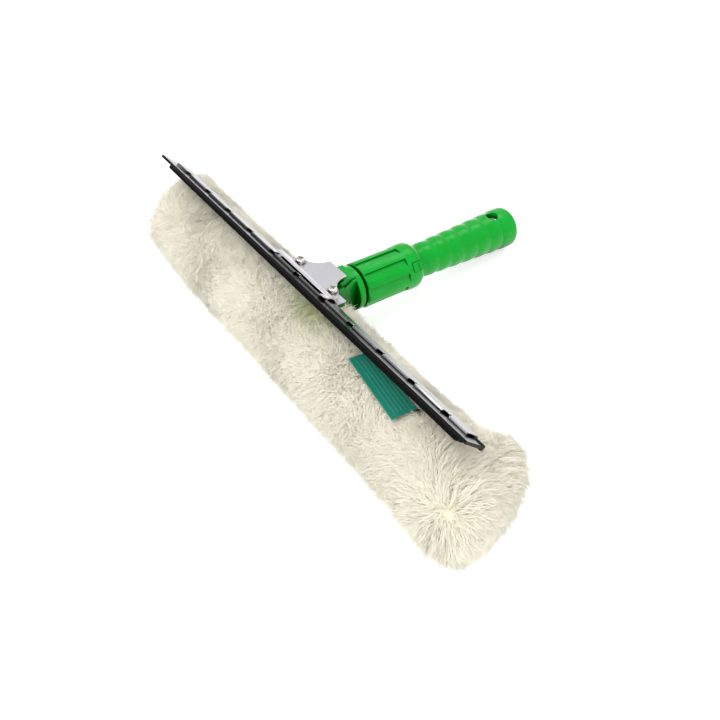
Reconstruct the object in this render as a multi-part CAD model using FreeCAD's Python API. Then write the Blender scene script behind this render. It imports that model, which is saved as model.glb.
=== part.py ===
import FreeCAD, Part
import math
import os

# Window strip washer with a squeegee clamped above it, lying as it rests on a table.
# Lengths are in millimetres and angles in degrees. While the pieces are made, X runs
# along the T-bar, +Y runs back along the handle, whose axis is Y, and the T-bar
# crosses it at the origin. At the end the tool is tipped back until sleeve and grip
# both touch the table, and the origin goes to the middle of its footprint.

Vec = FreeCAD.Vector
os.makedirs("parts", exist_ok=True)

# General fits
overrun = 2.0
slide_gap = 0.15
seat_gap = 0.05
soft_gap = 0.3
turn_gap = 0.3

# T-bar and its end caps
bar_length = 334.0
bar_width = 44.0
bar_height = 15.0
bar_corner = 5.0
bar_wall = 2.2
bar_drop = 14.0
drain_hole_diameter = 8.0
drain_holes_per_side = 5
drain_pitch = 27.0
cap_thickness = 3.0
cap_plug_depth = 12.0

# Fleece sleeve, measured over the pile
sleeve_left_overhang = 19.0
sleeve_right_overhang = 46.5
sleeve_half_width = 38.5
sleeve_half_height = 31.0
sleeve_drop = 16.0
sleeve_left_cap_length = 11.0
sleeve_right_cap_length = 23.0
sleeve_cap_steps = 5
sleeve_cap_last_angle = 72.0
sleeve_flat = 0.5
sleeve_straight_from_end = 74.0
sleeve_left_slant = 0.45
sleeve_left_shift = 3.0
sleeve_right_slant = 0.33
sleeve_right_shift = 6.0
sleeve_waist_from_end = 58.0
sleeve_waist_share = 0.97
sleeve_swell_from_end = 26.0
sleeve_swell_share = 0.7
sleeve_right_width_share = 1.18
sleeve_right_height_share = 0.96
sleeve_crease_share = 0.18
section_arcs = 8

# Sewn label and closure on the sleeve
label_width = 57.0
label_depth = 30.0
label_thickness = 0.8
label_turn = -9.0
label_front_x = 75.0
label_front_y = -8.5
closure_length = 24.0
closure_width = 48.0
closure_thickness = 1.5

# Head moulding
head_wall = 3.0
socket_half_length = 25.0
neck_front = 12.0
neck_half_width = 12.0
neck_slot_front = 33.6
neck_slot_back = 35.4
neck_slot_half_width = 6.0
neck_slot_top = 9.0
neck_bottom = -14.5
neck_top = 14.5
fin_half_width = 9.5
fin_front_top = 11.0
fin_back_top = 15.0
fin_bevel_length = 7.0
tongue_half_width = 8.0
tongue_rise_start = 28.0
tongue_rise_end = 37.0
tongue_top = 17.4
flange_front = 46.0
flange_thickness = 5.2
flange_radius = 16.8
flange_edge = 0.9
stub_radius = 13.0
stub_bore = 9.2
stub_end = 78.0
wing_half_length = 26.0
wing_front = 8.5
wing_back = 24.0
wing_thickness = 5.2

# Locking collar
collar_radius = 17.6
band_radius = 18.3
collar_front = 53.4
collar_front_chamfer = 1.2
band_front = 92.0
band_crest = 97.0
band_shoulder = 102.0
collar_end = 107.5
collar_end_radius = 15.0
collar_lip_front = 84.6
flute_count = 9
flute_first_angle = 28.0
flute_width_angle = 22.0
flute_depth = 1.2

# Latch tab in the collar band
latch_angle = 57.0
latch_front = 95.6
latch_length = 8.4
latch_width = 7.0
latch_height = 2.7
latch_proud = 0.3
latch_travel = 1.5
latch_gap = 0.2
latch_pad_length = 2.6
latch_pad_height = 0.5
latch_pad_width = 4.6
spring_thickness = 0.3
spring_margin = 0.4

# Friction washer and grip
washer_thickness = 1.1
grip_flange_back = 84.3
grip_spigot_front = 60.0
grip_core_radius = 6.5
neck_inner_radius = 11.8
neck_radius = 12.8
neck_start = 108.0
neck_end = 112.0
grip_bulge_count = 6
grip_bulge_pitch = 13.2
grip_first_crest = 13.7
grip_last_crest = 16.7
grip_valley_depth = 1.1
grip_end = 208.5
grip_end_round = 4.5
pole_socket_diameter = 22.5
pole_socket_depth = 62.0
pole_mouth_chamfer = 1.2
hang_hole_diameter = 10.0
hang_hole_from_end = 19.0

# Squeegee: its own axes start at the upper front edge of the channel, one towards
# the lip of the blade and one square out of the upper face of the channel
squeegee_pitch_angle = 42.8
mouth_y = 1.0
mouth_z = 32.5
channel_length = 350.0
channel_depth = 16.0
channel_thickness = 6.4
channel_sheet = 0.8
channel_lip = 1.6
channel_lower_setback = 3.0
notch_count = 11
notch_pitch = 31.25
notch_width = 6.0
notch_depth = 4.5
blade_overhang = 8.0
blade_reach = 10.7
blade_thickness = 2.2
blade_below_top = 1.8
bead_radius = 2.1
bead_setback = 11.0
bead_below_top = 3.0
backing_reach = 5.0
backing_inner_reach = 8.3
backing_bottom = 7.6
backing_inner_bottom = 5.5
backing_edge = 1.2
clip_length = 10.0
clip_height = 2.4
clip_thickness = 1.5

# Bracket plate, lower jaw and their screws
plate_thickness = 1.2
plate_top = 23.3
plate_back = 36.0
plate_back_half_width = 10.0
plate_waist_half_width = 12.6
plate_waist_y = 27.5
plate_shoulder_half_width = 18.0
plate_shoulder_y = 22.3
plate_lobe_half_width = 25.4
plate_lobe_y = 17.8
plate_lobe_foot_half_width = 28.0
plate_lobe_front = 13.0
plate_half_length = 32.5
arch_centre_reach = -8.4
arch_centre_rise = -4.9
arch_inner_radius = 6.9
arch_front_rise = 1.3
lug_length = 4.5
lug_reach = 1.0
lug_edge = 0.6
jaw_half_length = 28.0
jaw_back = 23.0
jaw_bend_y = 6.4
jaw_top = 18.05
jaw_back_reach = -14.5
jaw_front_reach = -4.5
pad_half_width = 6.5
pad_front = 25.0
screw_x = 20.0
screw_y = 17.0
screw_diameter = 4.0
screw_length = 12.0
screw_head_diameter = 7.0
screw_head_height = 2.8
screw_head_edge = 1.3
recess_width = 1.1
recess_span = 4.6
recess_depth = 1.5
spring_washer_thickness = 0.9
spring_washer_diameter = 6.8
spring_washer_split = 0.6
screw_hole_gap = 0.25
nut_across_flats = 7.0
nut_thickness = 3.2
nut_gap = 0.1

# Screws that hold the T-bar in the head
bar_screw_x = 17.0
bar_screw_from_front = 10.0
bar_screw_diameter = 3.5
bar_screw_length = 9.0
bar_screw_head_diameter = 7.0
bar_screw_head_height = 2.2

# Sizes worked out from those above
bar_z = -bar_drop
sleeve_left_end = -bar_length / 2 - sleeve_left_overhang
sleeve_right_end = bar_length / 2 + sleeve_right_overhang
sleeve_z = -sleeve_drop
cap_end = bar_length / 2 + cap_thickness
bar_top = bar_z + bar_height / 2
bar_bottom = bar_z - bar_height / 2
bar_screw_y = -bar_width / 2 + bar_screw_from_front
plate_underside = plate_top - plate_thickness
jaw_underside = jaw_top - plate_thickness
wing_top = jaw_underside - seat_gap
wing_bottom = wing_top - wing_thickness
pitch_sine = math.sin(math.radians(squeegee_pitch_angle))
pitch_cosine = math.cos(math.radians(squeegee_pitch_angle))
grip_flange_front = stub_end + washer_thickness + 2 * seat_gap
grip_bulges_end = neck_end + grip_bulge_count * grip_bulge_pitch
screw_seat = plate_top + spring_washer_thickness
hang_hole_y = grip_end - hang_hole_from_end
arch_middle_radius = arch_inner_radius + plate_thickness / 2
plate_front = mouth_y - pitch_cosine * arch_centre_reach + pitch_sine * arch_centre_rise + arch_inner_radius


def box(x_min, x_max, y_min, y_max, z_min, z_max):
    return Part.makeBox(x_max - x_min, y_max - y_min, z_max - z_min, Vec(x_min, y_min, z_min))


def rod_y(y_min, y_max, radius):
    return Part.makeCylinder(radius, y_max - y_min, Vec(0, y_min, 0), Vec(0, 1, 0))


def rod_z(x, y, z_min, z_max, radius):
    return Part.makeCylinder(radius, z_max - z_min, Vec(x, y, z_min), Vec(0, 0, 1))


def closed_face(edges):
    return Part.Face(Part.Wire(edges))


def polygon_face(points):
    return Part.Face(Part.makePolygon(points + [points[0]]))


def slab(points, x_min, x_max):
    # a prism along X over an outline given in Y and Z
    face = polygon_face([Vec(x_min, y, z) for y, z in points])
    return face.extrude(Vec(x_max - x_min, 0, 0))


def rounded_bar(half_width, height, corner, x_min, x_max, middle_z):
    bar = box(x_min, x_max, -half_width, half_width, middle_z - height / 2, middle_z + height / 2)
    long_edges = [edge for edge in bar.Edges if abs(edge.tangentAt(edge.FirstParameter).x) > 0.9]
    return bar.makeFillet(corner, long_edges)


def line(start, end):
    return Part.LineSegment(start, end).toShape()


def arc(start, middle, end):
    return Part.Arc(start, middle, end).toShape()


def squeegee_point(reach, rise, x=0.0):
    # from the squeegee's own axes to the tool's
    y = mouth_y - pitch_cosine * reach + pitch_sine * rise
    z = mouth_z + pitch_sine * reach + pitch_cosine * rise
    return Vec(x, y, z)


def squeegee_slab(points, x_min, x_max):
    # a prism along X over an outline given in the squeegee's own axes
    face = polygon_face([squeegee_point(reach, rise, x_min) for reach, rise in points])
    return face.extrude(Vec(x_max - x_min, 0, 0))


def squeegee_rod(reach, rise, radius, x_min, x_max):
    return Part.makeCylinder(radius, x_max - x_min, squeegee_point(reach, rise, x_min), Vec(1, 0, 0))


def around_handle(shape, angle):
    # turned about the handle axis, from +Z towards +X
    turned = shape.copy()
    turned.rotate(Vec(0, 0, 0), Vec(0, 1, 0), angle)
    return turned


def sleeve_section(x, extra=0.0, width_share=1.0, height_share=1.0, shift=0.0, slant=0.0, crease=0.0):
    # the sleeve's outline at one place along it; an end's is shifted back, slanted and creased on top
    half_width = sleeve_half_width * width_share + extra
    half_height = sleeve_half_height * height_share + extra

    def point(turn_share):
        turn = 2 * math.pi * turn_share
        y = shift + half_width * math.cos(turn)
        rise = half_height * math.sin(turn)
        if turn_share == 1 / 4:
            rise *= 1 - crease
        return Vec(x - slant * y, y, sleeve_z + rise)

    edges = []
    for number in range(section_arcs):
        start = number / section_arcs
        middle = (number + 0.5) / section_arcs
        end = (number + 1) % section_arcs / section_arcs
        edges.append(arc(point(start), point(middle), point(end)))
    return Part.Wire(edges)


def sleeve_rounding(cap_length):
    # how far from an end each of its last sections is, and its share of the full size
    angles = [math.radians(sleeve_cap_last_angle * step / sleeve_cap_steps) for step in range(sleeve_cap_steps + 1)]
    return [(cap_length * (1 - math.sin(angle)), math.cos(angle)) for angle in angles]


def sleeve_outside():
    # both ends are rounded and slanted; the right one swells past a slight waist and has a crease on top
    wires = [sleeve_section(sleeve_left_end + inset, 0, share, share, sleeve_left_shift, sleeve_left_slant)
             for inset, share in reversed(sleeve_rounding(sleeve_left_cap_length))]
    wires.append(sleeve_section(sleeve_left_end + sleeve_straight_from_end))
    wires.append(sleeve_section(sleeve_right_end - sleeve_straight_from_end))
    for from_end, width_share, end_share in ((sleeve_waist_from_end, sleeve_waist_share, 0),
                                             (sleeve_swell_from_end, sleeve_right_width_share, sleeve_swell_share)):
        wires.append(sleeve_section(sleeve_right_end - from_end, 0, width_share, sleeve_waist_share,
                                    sleeve_right_shift * end_share, sleeve_right_slant * end_share,
                                    sleeve_crease_share * end_share))
    for inset, share in sleeve_rounding(sleeve_right_cap_length):
        wires.append(sleeve_section(sleeve_right_end - inset, 0, sleeve_right_width_share * share,
                                    sleeve_right_height_share * share, sleeve_right_shift, sleeve_right_slant,
                                    sleeve_crease_share))
    return Part.makeLoft(wires, True, True)


def make_sleeve():
    sleeve = sleeve_outside()
    room_end = cap_end + soft_gap
    sleeve = sleeve.cut(box(-room_end, room_end, -bar_width / 2 - soft_gap, bar_width / 2 + soft_gap,
                            bar_bottom - soft_gap, bar_top + soft_gap))
    socket_x = socket_half_length + soft_gap
    socket_y = bar_width / 2 + head_wall + soft_gap
    socket_top = bar_top + head_wall + bar_screw_head_height + soft_gap
    sleeve = sleeve.cut(box(-socket_x, socket_x, -socket_y, socket_y,
                            bar_bottom - head_wall - soft_gap, socket_top))
    neck_x = neck_half_width + soft_gap
    sleeve = sleeve.cut(box(-neck_x, neck_x, neck_front - soft_gap, flange_front + overrun,
                            neck_bottom - soft_gap, mouth_z))
    wing_x = wing_half_length + soft_gap
    wing_room_bottom = screw_seat - screw_length - soft_gap
    sleeve = sleeve.cut(box(-wing_x, wing_x, wing_front - soft_gap, flange_front,
                            min(wing_room_bottom, wing_bottom - soft_gap), mouth_z))
    return sleeve.cut(closure_pocket())


def closure_bottom(layer):
    return bar_z - closure_thickness - soft_gap / 2 + layer * (closure_thickness + soft_gap)


def closure_pocket():
    # between the two flaps that close the sleeve's right end
    half = closure_width / 2 + soft_gap
    return box(cap_end, cap_end + closure_length + 2 * soft_gap, -half, half,
               closure_bottom(0) - soft_gap, closure_bottom(2))


def closure_strip(layer):
    bottom = closure_bottom(layer)
    return box(cap_end + soft_gap, cap_end + soft_gap + closure_length, -closure_width / 2, closure_width / 2,
               bottom, bottom + closure_thickness)


def make_label():
    x_min = label_front_x - label_depth
    x_max = label_front_x + label_width + label_depth
    outer = Part.Face(sleeve_section(x_min, soft_gap + label_thickness))
    inner = Part.Face(sleeve_section(x_min, soft_gap))
    skin = outer.cut(inner).extrude(Vec(x_max - x_min, 0, 0))
    outline = box(label_front_x, label_front_x + label_width, label_front_y,
                  label_front_y + label_depth, 0, mouth_z)
    outline.rotate(Vec(label_front_x, label_front_y, 0), Vec(0, 0, 1), label_turn)
    return skin.common(outline)


def make_bar():
    half = bar_length / 2
    bar = rounded_bar(bar_width / 2, bar_height, bar_corner, -half, half, bar_z)
    inner = rounded_bar(bar_width / 2 - bar_wall, bar_height - 2 * bar_wall, bar_corner - bar_wall,
                        -half - overrun, half + overrun, bar_z)
    bar = bar.cut(inner)
    for side in (-1, 1):
        for number in range(drain_holes_per_side):
            x = side * (half - cap_plug_depth - drain_hole_diameter - number * drain_pitch)
            bar = bar.cut(rod_z(x, 0, bar_bottom - overrun, bar_top + overrun, drain_hole_diameter / 2))
    for x in (-bar_screw_x, bar_screw_x):
        bar = bar.cut(rod_z(x, bar_screw_y, bar_z, bar_top + overrun, bar_screw_diameter / 2 + seat_gap))
    return bar


def make_bar_cap(side):
    half = bar_length / 2
    plug_half = bar_width / 2 - bar_wall - seat_gap
    plug_height = bar_height - 2 * bar_wall - 2 * seat_gap
    cap = rounded_bar(bar_width / 2, bar_height, bar_corner, half, half + cap_thickness, bar_z)
    plug = rounded_bar(plug_half, plug_height, bar_corner - bar_wall, half - cap_plug_depth, half + seat_gap, bar_z)
    cap = cap.fuse(plug).removeSplitter()
    if side < 0:
        return cap.mirror(Vec(0, 0, 0), Vec(1, 0, 0))
    return cap


def make_bar_screws():
    seat = bar_top + head_wall
    screws = []
    for x in (-bar_screw_x, bar_screw_x):
        shank = rod_z(x, bar_screw_y, seat - bar_screw_length, seat, bar_screw_diameter / 2)
        head = Part.makeCone(bar_screw_head_diameter / 2, bar_screw_diameter / 2, bar_screw_head_height,
                             Vec(x, bar_screw_y, seat))
        slot = box(x - bar_screw_head_diameter, x + bar_screw_head_diameter, bar_screw_y - seat_gap - recess_width / 2,
                   bar_screw_y + recess_width / 2, seat + bar_screw_head_height - recess_width / 2, seat + head_wall)
        screws.append(shank.fuse(head).cut(slot))
    return Part.makeCompound(screws)


def make_head():
    socket_y = bar_width / 2 + head_wall
    head = box(-socket_half_length, socket_half_length, -socket_y, socket_y,
               bar_bottom - head_wall, bar_top + head_wall)
    neck = box(-neck_half_width, neck_half_width, neck_front, neck_slot_front, neck_bottom, neck_top)
    web = box(-neck_slot_half_width, neck_slot_half_width, neck_slot_front - overrun,
              neck_slot_back + overrun, neck_bottom, neck_slot_top + overrun)
    fin_outline = [(neck_slot_back, neck_bottom), (flange_front, neck_bottom), (flange_front, fin_back_top),
                   (neck_slot_back + fin_bevel_length, fin_back_top), (neck_slot_back, fin_front_top)]
    fin = slab(fin_outline, -fin_half_width, fin_half_width)
    tongue_outline = [(neck_front, neck_slot_top), (flange_front, neck_slot_top), (flange_front, tongue_top),
                      (tongue_rise_end, tongue_top), (tongue_rise_start, neck_top), (neck_front, neck_top)]
    tongue = slab(tongue_outline, -tongue_half_width, tongue_half_width)
    pad = box(-pad_half_width, pad_half_width, pad_front, plate_back, neck_slot_top, plate_underside - seat_gap)
    wing = box(-wing_half_length, wing_half_length, wing_front, wing_back, wing_bottom, wing_top)
    wing_root = box(-neck_half_width, neck_half_width, neck_front, wing_back, neck_bottom, wing_top)
    flange = rod_y(flange_front, flange_front + flange_thickness, flange_radius)
    flange = flange.makeFillet(flange_edge, [edge for edge in flange.Edges if len(edge.Vertexes) == 1])
    stub = rod_y(flange_front, stub_end, stub_radius)
    for piece in (neck, web, fin, tongue, pad, wing, wing_root, flange, stub):
        head = head.fuse(piece)
    head = head.cut(rod_y(flange_front + flange_thickness, stub_end + overrun, stub_bore))
    window = rounded_bar(bar_width / 2 + seat_gap, bar_height + 2 * seat_gap, bar_corner,
                         -socket_half_length - overrun, socket_half_length + overrun, bar_z)
    head = head.cut(window)
    for x in (-bar_screw_x, bar_screw_x):
        head = head.cut(rod_z(x, bar_screw_y, bar_z, neck_top, bar_screw_diameter / 2 + seat_gap))
    for x in (-screw_x, screw_x):
        head = head.cut(rod_z(x, screw_y, wing_bottom - overrun, plate_top, screw_diameter / 2 + screw_hole_gap))
        head = head.cut(hexagon(x, screw_y, wing_bottom - overrun, nut_top() + nut_gap,
                                nut_across_flats + 2 * nut_gap))
    return head.removeSplitter()


def nut_top():
    return screw_seat - screw_length + nut_thickness


def hexagon(x, y, z_min, z_max, across_flats):
    corner_radius = across_flats / 2 / math.cos(math.pi / 6)
    corners = []
    for number in range(6):
        turn = math.pi * number / 3
        corners.append(Vec(x + corner_radius * math.cos(turn), y + corner_radius * math.sin(turn), z_min))
    return polygon_face(corners).extrude(Vec(0, 0, z_max - z_min))


def make_clamp_nuts():
    nuts = []
    for x in (-screw_x, screw_x):
        nut = hexagon(x, screw_y, nut_top() - nut_thickness, nut_top(), nut_across_flats)
        hole = rod_z(x, screw_y, nut_top() - nut_thickness - overrun, nut_top() + overrun,
                     screw_diameter / 2 + slide_gap)
        nuts.append(nut.cut(hole))
    return Part.makeCompound(nuts)


def revolve_about_handle(edges):
    return closed_face(edges).revolve(Vec(0, 0, 0), Vec(0, 1, 0), 360)


def flute(angle):
    # a shallow step that runs out over its width, as a finger hold
    outside = collar_radius + overrun
    start = math.radians(angle)
    end = math.radians(angle + flute_width_angle)

    def point(radius, turn):
        return Vec(radius * math.sin(turn), collar_front - overrun, radius * math.cos(turn))

    corners = [point(collar_radius - flute_depth, start), point(outside, start),
               point(outside, end), point(collar_radius, end)]
    return polygon_face(corners).extrude(Vec(0, band_front - collar_front + overrun, 0))


def make_collar():
    lip_bore = neck_inner_radius + turn_gap
    thread_bore = stub_radius + turn_gap
    chamfer_y = collar_front + collar_front_chamfer
    a = Vec(0, collar_front, thread_bore)
    b = Vec(0, collar_front, collar_radius - collar_front_chamfer)
    c = Vec(0, chamfer_y, collar_radius)
    d = Vec(0, band_front, collar_radius)
    e = Vec(0, band_crest, band_radius)
    f = Vec(0, band_shoulder, band_radius)
    g = Vec(0, (band_shoulder + collar_end) / 2, (2 * band_radius + collar_end_radius) / 3)
    h = Vec(0, collar_end, collar_end_radius)
    i = Vec(0, collar_end, lip_bore)
    j = Vec(0, collar_lip_front, lip_bore)
    k = Vec(0, collar_lip_front, thread_bore)
    edges = [line(a, b), line(b, c), line(c, d), line(d, e), line(e, f), arc(f, g, h),
             line(h, i), line(i, j), line(j, k), line(k, a)]
    collar = revolve_about_handle(edges)
    for number in range(flute_count):
        collar = collar.cut(flute(flute_first_angle + 360.0 * number / flute_count))
    return collar.cut(around_handle(latch_pocket(), latch_angle))


def latch_top():
    return band_radius + latch_proud


def latch_bottom():
    return latch_top() - latch_height


def spring_bottom():
    return latch_bottom() - latch_travel - spring_thickness


def latch_pocket():
    half = latch_width / 2 + latch_gap
    return box(-half, half, latch_front - latch_gap, latch_front + latch_length + latch_gap,
               spring_bottom() - seat_gap, latch_top() + overrun)


def make_latch_tab():
    half = latch_width / 2
    tab = box(-half, half, latch_front, latch_front + latch_length, latch_bottom(), latch_top())
    pad_back = latch_front + latch_length - latch_pad_height
    pad = box(-latch_pad_width / 2, latch_pad_width / 2, pad_back - latch_pad_length, pad_back,
              latch_top() - latch_pad_height, latch_top() + latch_pad_height)
    return around_handle(tab.fuse(pad), latch_angle)


def make_latch_spring():
    half = latch_width / 2 - spring_margin
    leaf = box(-half, half, latch_front + spring_margin, latch_front + latch_length - spring_margin,
               spring_bottom(), spring_bottom() + spring_thickness)
    return around_handle(leaf, latch_angle)


def make_friction_washer():
    start = stub_end + seat_gap
    end = start + washer_thickness
    ring = rod_y(start, end, stub_radius - seat_gap)
    return ring.cut(rod_y(start - overrun, end + overrun, stub_bore + turn_gap))


def make_grip():
    socket_start = grip_end - pole_socket_depth
    socket_radius = pole_socket_diameter / 2
    outline = [Vec(0, grip_spigot_front, grip_core_radius),
               Vec(0, grip_spigot_front, stub_bore - turn_gap),
               Vec(0, grip_flange_front, stub_bore - turn_gap),
               Vec(0, grip_flange_front, stub_radius),
               Vec(0, grip_flange_back, stub_radius),
               Vec(0, grip_flange_back, neck_inner_radius),
               Vec(0, neck_start, neck_inner_radius),
               Vec(0, neck_start, neck_radius),
               Vec(0, neck_end, grip_first_crest - grip_valley_depth)]
    edges = [line(start, end) for start, end in zip(outline, outline[1:])]
    growth = (grip_last_crest - grip_first_crest) / grip_bulge_count
    here = outline[-1]
    for number in range(grip_bulge_count):
        crest = grip_first_crest + growth * number
        middle_y = neck_end + grip_bulge_pitch * (number + 0.5)
        end = Vec(0, neck_end + grip_bulge_pitch * (number + 1), crest + growth - grip_valley_depth)
        edges.append(arc(here, Vec(0, middle_y, crest), end))
        here = end
    round_start = Vec(0, grip_end - grip_end_round, grip_last_crest)
    crest_y = grip_bulges_end + grip_bulge_pitch / 2
    crest_point = Vec(0, crest_y, grip_last_crest)
    rise = Vec(0, (grip_bulges_end + crest_y) / 2, grip_last_crest - grip_valley_depth / 4)
    edges.append(arc(here, rise, crest_point))
    if round_start.y > crest_y:
        edges.append(line(crest_point, round_start))
    diagonal = grip_end_round * math.sqrt(0.5)
    round_middle = Vec(0, grip_end - grip_end_round + diagonal, grip_last_crest - grip_end_round + diagonal)
    round_end = Vec(0, grip_end, grip_last_crest - grip_end_round)
    edges.append(arc(round_start, round_middle, round_end))
    inside = [round_end,
              Vec(0, grip_end, socket_radius + pole_mouth_chamfer / 2),
              Vec(0, grip_end - pole_mouth_chamfer, socket_radius),
              Vec(0, socket_start, socket_radius),
              Vec(0, socket_start, grip_core_radius),
              outline[0]]
    edges += [line(start, end) for start, end in zip(inside, inside[1:])]
    grip = revolve_about_handle(edges)
    reach = grip_last_crest + overrun
    return grip.cut(rod_z(0, hang_hole_y, -reach, reach, hang_hole_diameter / 2))


def make_channel():
    spine_radius = channel_thickness / 2
    inner_radius = spine_radius - channel_sheet
    half = channel_length / 2
    spine = -channel_depth + spine_radius

    def at(reach, rise):
        return squeegee_point(reach, rise, -half)

    top = -channel_sheet
    bottom = -channel_thickness + channel_sheet
    edges = [
        line(at(0, 0), at(spine, 0)),
        arc(at(spine, 0), at(-channel_depth, -spine_radius), at(spine, -channel_thickness)),
        line(at(spine, -channel_thickness), at(-channel_lower_setback, -channel_thickness)),
        line(at(-channel_lower_setback, -channel_thickness), at(-channel_lower_setback, bottom)),
        line(at(-channel_lower_setback, bottom), at(spine, bottom)),
        arc(at(spine, bottom), at(spine - inner_radius, -spine_radius), at(spine, top)),
        line(at(spine, top), at(-channel_sheet, top)),
        line(at(-channel_sheet, top), at(-channel_sheet, -channel_lip)),
        line(at(-channel_sheet, -channel_lip), at(0, -channel_lip)),
        line(at(0, -channel_lip), at(0, 0)),
    ]
    channel = closed_face(edges).extrude(Vec(channel_length, 0, 0))
    for number in range(notch_count):
        x = (number - (notch_count - 1) / 2) * notch_pitch
        channel = channel.cut(notch(x))
    return channel


def notch(x):
    # an arched bite out of the front edge of the channel's upper side
    half = notch_width / 2
    straight = notch_depth - half
    low = -channel_lip - slide_gap
    corners = [squeegee_point(overrun, low, x - half), squeegee_point(-straight, low, x - half),
               squeegee_point(-notch_depth, low, x), squeegee_point(-straight, low, x + half),
               squeegee_point(overrun, low, x + half)]
    edges = [line(corners[0], corners[1]), arc(corners[1], corners[2], corners[3]),
             line(corners[3], corners[4]), line(corners[4], corners[0])]
    through = squeegee_point(0, overrun) - squeegee_point(0, low)
    return closed_face(edges).extrude(through)


def make_blade():
    half = channel_length / 2 + blade_overhang
    strip = squeegee_slab([(blade_reach, -blade_below_top), (blade_reach, -blade_below_top - blade_thickness),
                           (-bead_setback, -blade_below_top - blade_thickness),
                           (-bead_setback, -blade_below_top)], -half, half)
    bead = squeegee_rod(-bead_setback, -bead_below_top, bead_radius, -half, half)
    return strip.fuse(bead).removeSplitter()


def make_backing():
    half = channel_length / 2
    top = -blade_below_top - blade_thickness - seat_gap
    step = -channel_lower_setback + 4 * seat_gap
    strip = squeegee_slab([(backing_reach, top), (backing_reach, -backing_bottom), (step, -backing_bottom),
                           (step, -backing_inner_bottom), (-backing_inner_reach, -backing_inner_bottom),
                           (-backing_inner_reach, top)], -half, half)
    wanted = []
    for edge in strip.Edges:
        middle = edge.CenterOfMass
        low = (middle - squeegee_point(0, -backing_bottom)).dot(squeegee_point(0, 1) - squeegee_point(0, 0))
        ahead = (middle - squeegee_point(step, 0)).dot(squeegee_point(1, 0) - squeegee_point(0, 0))
        if abs(abs(middle.x) - half) < seat_gap and abs(low) < seat_gap and ahead > seat_gap:
            wanted.append(edge)
    return strip.makeFillet(backing_edge, wanted)


def make_channel_clips():
    half = channel_length / 2
    front = -bead_setback - bead_radius - slide_gap
    middle = -channel_thickness / 2
    outline = [(front, middle - clip_height / 2), (front, middle + clip_height / 2),
               (front - clip_thickness, middle + clip_height / 2), (front - clip_thickness, middle - clip_height / 2)]
    right = squeegee_slab(outline, half - clip_length, half)
    return Part.makeCompound([right, right.mirror(Vec(0, 0, 0), Vec(1, 0, 0))])


def plate_outline():
    # the bracket plate seen from above, narrowing to the back through a waist
    def at(x, y):
        return Vec(x, y, plate_underside)

    edges = []
    for side in (-1, 1):
        front = at(side * plate_half_length, plate_front)
        corner = at(side * plate_half_length, plate_front + plate_thickness)
        lobe_start = at(side * plate_lobe_foot_half_width, plate_lobe_front)
        lobe = at(side * plate_lobe_half_width, plate_lobe_y)
        shoulder = at(side * plate_shoulder_half_width, plate_shoulder_y)
        waist = at(side * plate_waist_half_width, plate_waist_y)
        back = at(side * plate_back_half_width, plate_back)
        edges += [line(front, corner), line(corner, lobe_start), arc(lobe_start, lobe, shoulder),
                  arc(shoulder, waist, back)]
    edges.append(line(at(-plate_back_half_width, plate_back), at(plate_back_half_width, plate_back)))
    edges.append(line(at(-plate_half_length, plate_front), at(plate_half_length, plate_front)))
    return Part.Face(Part.Wire(Part.__sortEdges__(edges)))


def channel_room():
    # the space that the channel's top and rounded back need, with their clearance
    spine = -channel_depth + channel_thickness / 2
    half = plate_half_length + overrun
    over_top = squeegee_slab([(spine, slide_gap), (0, slide_gap), (0, -channel_thickness),
                              (spine, -channel_thickness)], -half, half)
    round_back = squeegee_rod(spine, -channel_thickness / 2, channel_thickness / 2 + slide_gap, -half, half)
    return over_top.fuse(round_back)


def arch_reach(rise):
    # how far towards the lip the middle of the arch's sheet is at one rise
    return arch_centre_reach + math.sqrt(arch_middle_radius ** 2 - (rise - arch_centre_rise) ** 2)


def make_bracket_plate():
    # flat at the back, arched over the channel, with a lug at each end that reaches over the lip
    flat = plate_outline().extrude(Vec(0, 0, plate_thickness))
    outer_radius = arch_inner_radius + plate_thickness
    room = outer_radius + overrun
    half = plate_half_length + overrun
    lug_start = plate_half_length - lug_length
    arch = squeegee_rod(arch_centre_reach, arch_centre_rise, outer_radius, -plate_half_length, plate_half_length)
    arch = arch.cut(squeegee_rod(arch_centre_reach, arch_centre_rise, arch_inner_radius, -half, half))
    back = arch_centre_reach - room
    arch = arch.cut(squeegee_slab([(back, slide_gap), (room, slide_gap), (room, -room - channel_depth),
                                   (back, -room - channel_depth)], -half, half))
    arch = arch.cut(squeegee_slab([(arch_centre_reach, arch_front_rise), (room, arch_front_rise), (room, 0),
                                   (arch_centre_reach, 0)], -lug_start, lug_start))
    arch = arch.cut(box(-half, half, plate_front, plate_lobe_y, plate_underside - room, plate_underside))
    lug_outline = [(arch_reach(slide_gap), slide_gap), (lug_reach, slide_gap), (lug_reach, slide_gap + lug_edge),
                   (arch_reach(arch_front_rise), arch_front_rise)]
    right_lug = squeegee_slab(lug_outline, lug_start, plate_half_length)
    left_lug = right_lug.mirror(Vec(0, 0, 0), Vec(1, 0, 0))
    plate = flat.fuse(arch).fuse(right_lug).fuse(left_lug).cut(channel_room()).removeSplitter()
    for x in (-screw_x, screw_x):
        plate = plate.cut(rod_z(x, screw_y, jaw_top, screw_seat, screw_diameter / 2 + screw_hole_gap))
    return plate


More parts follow.
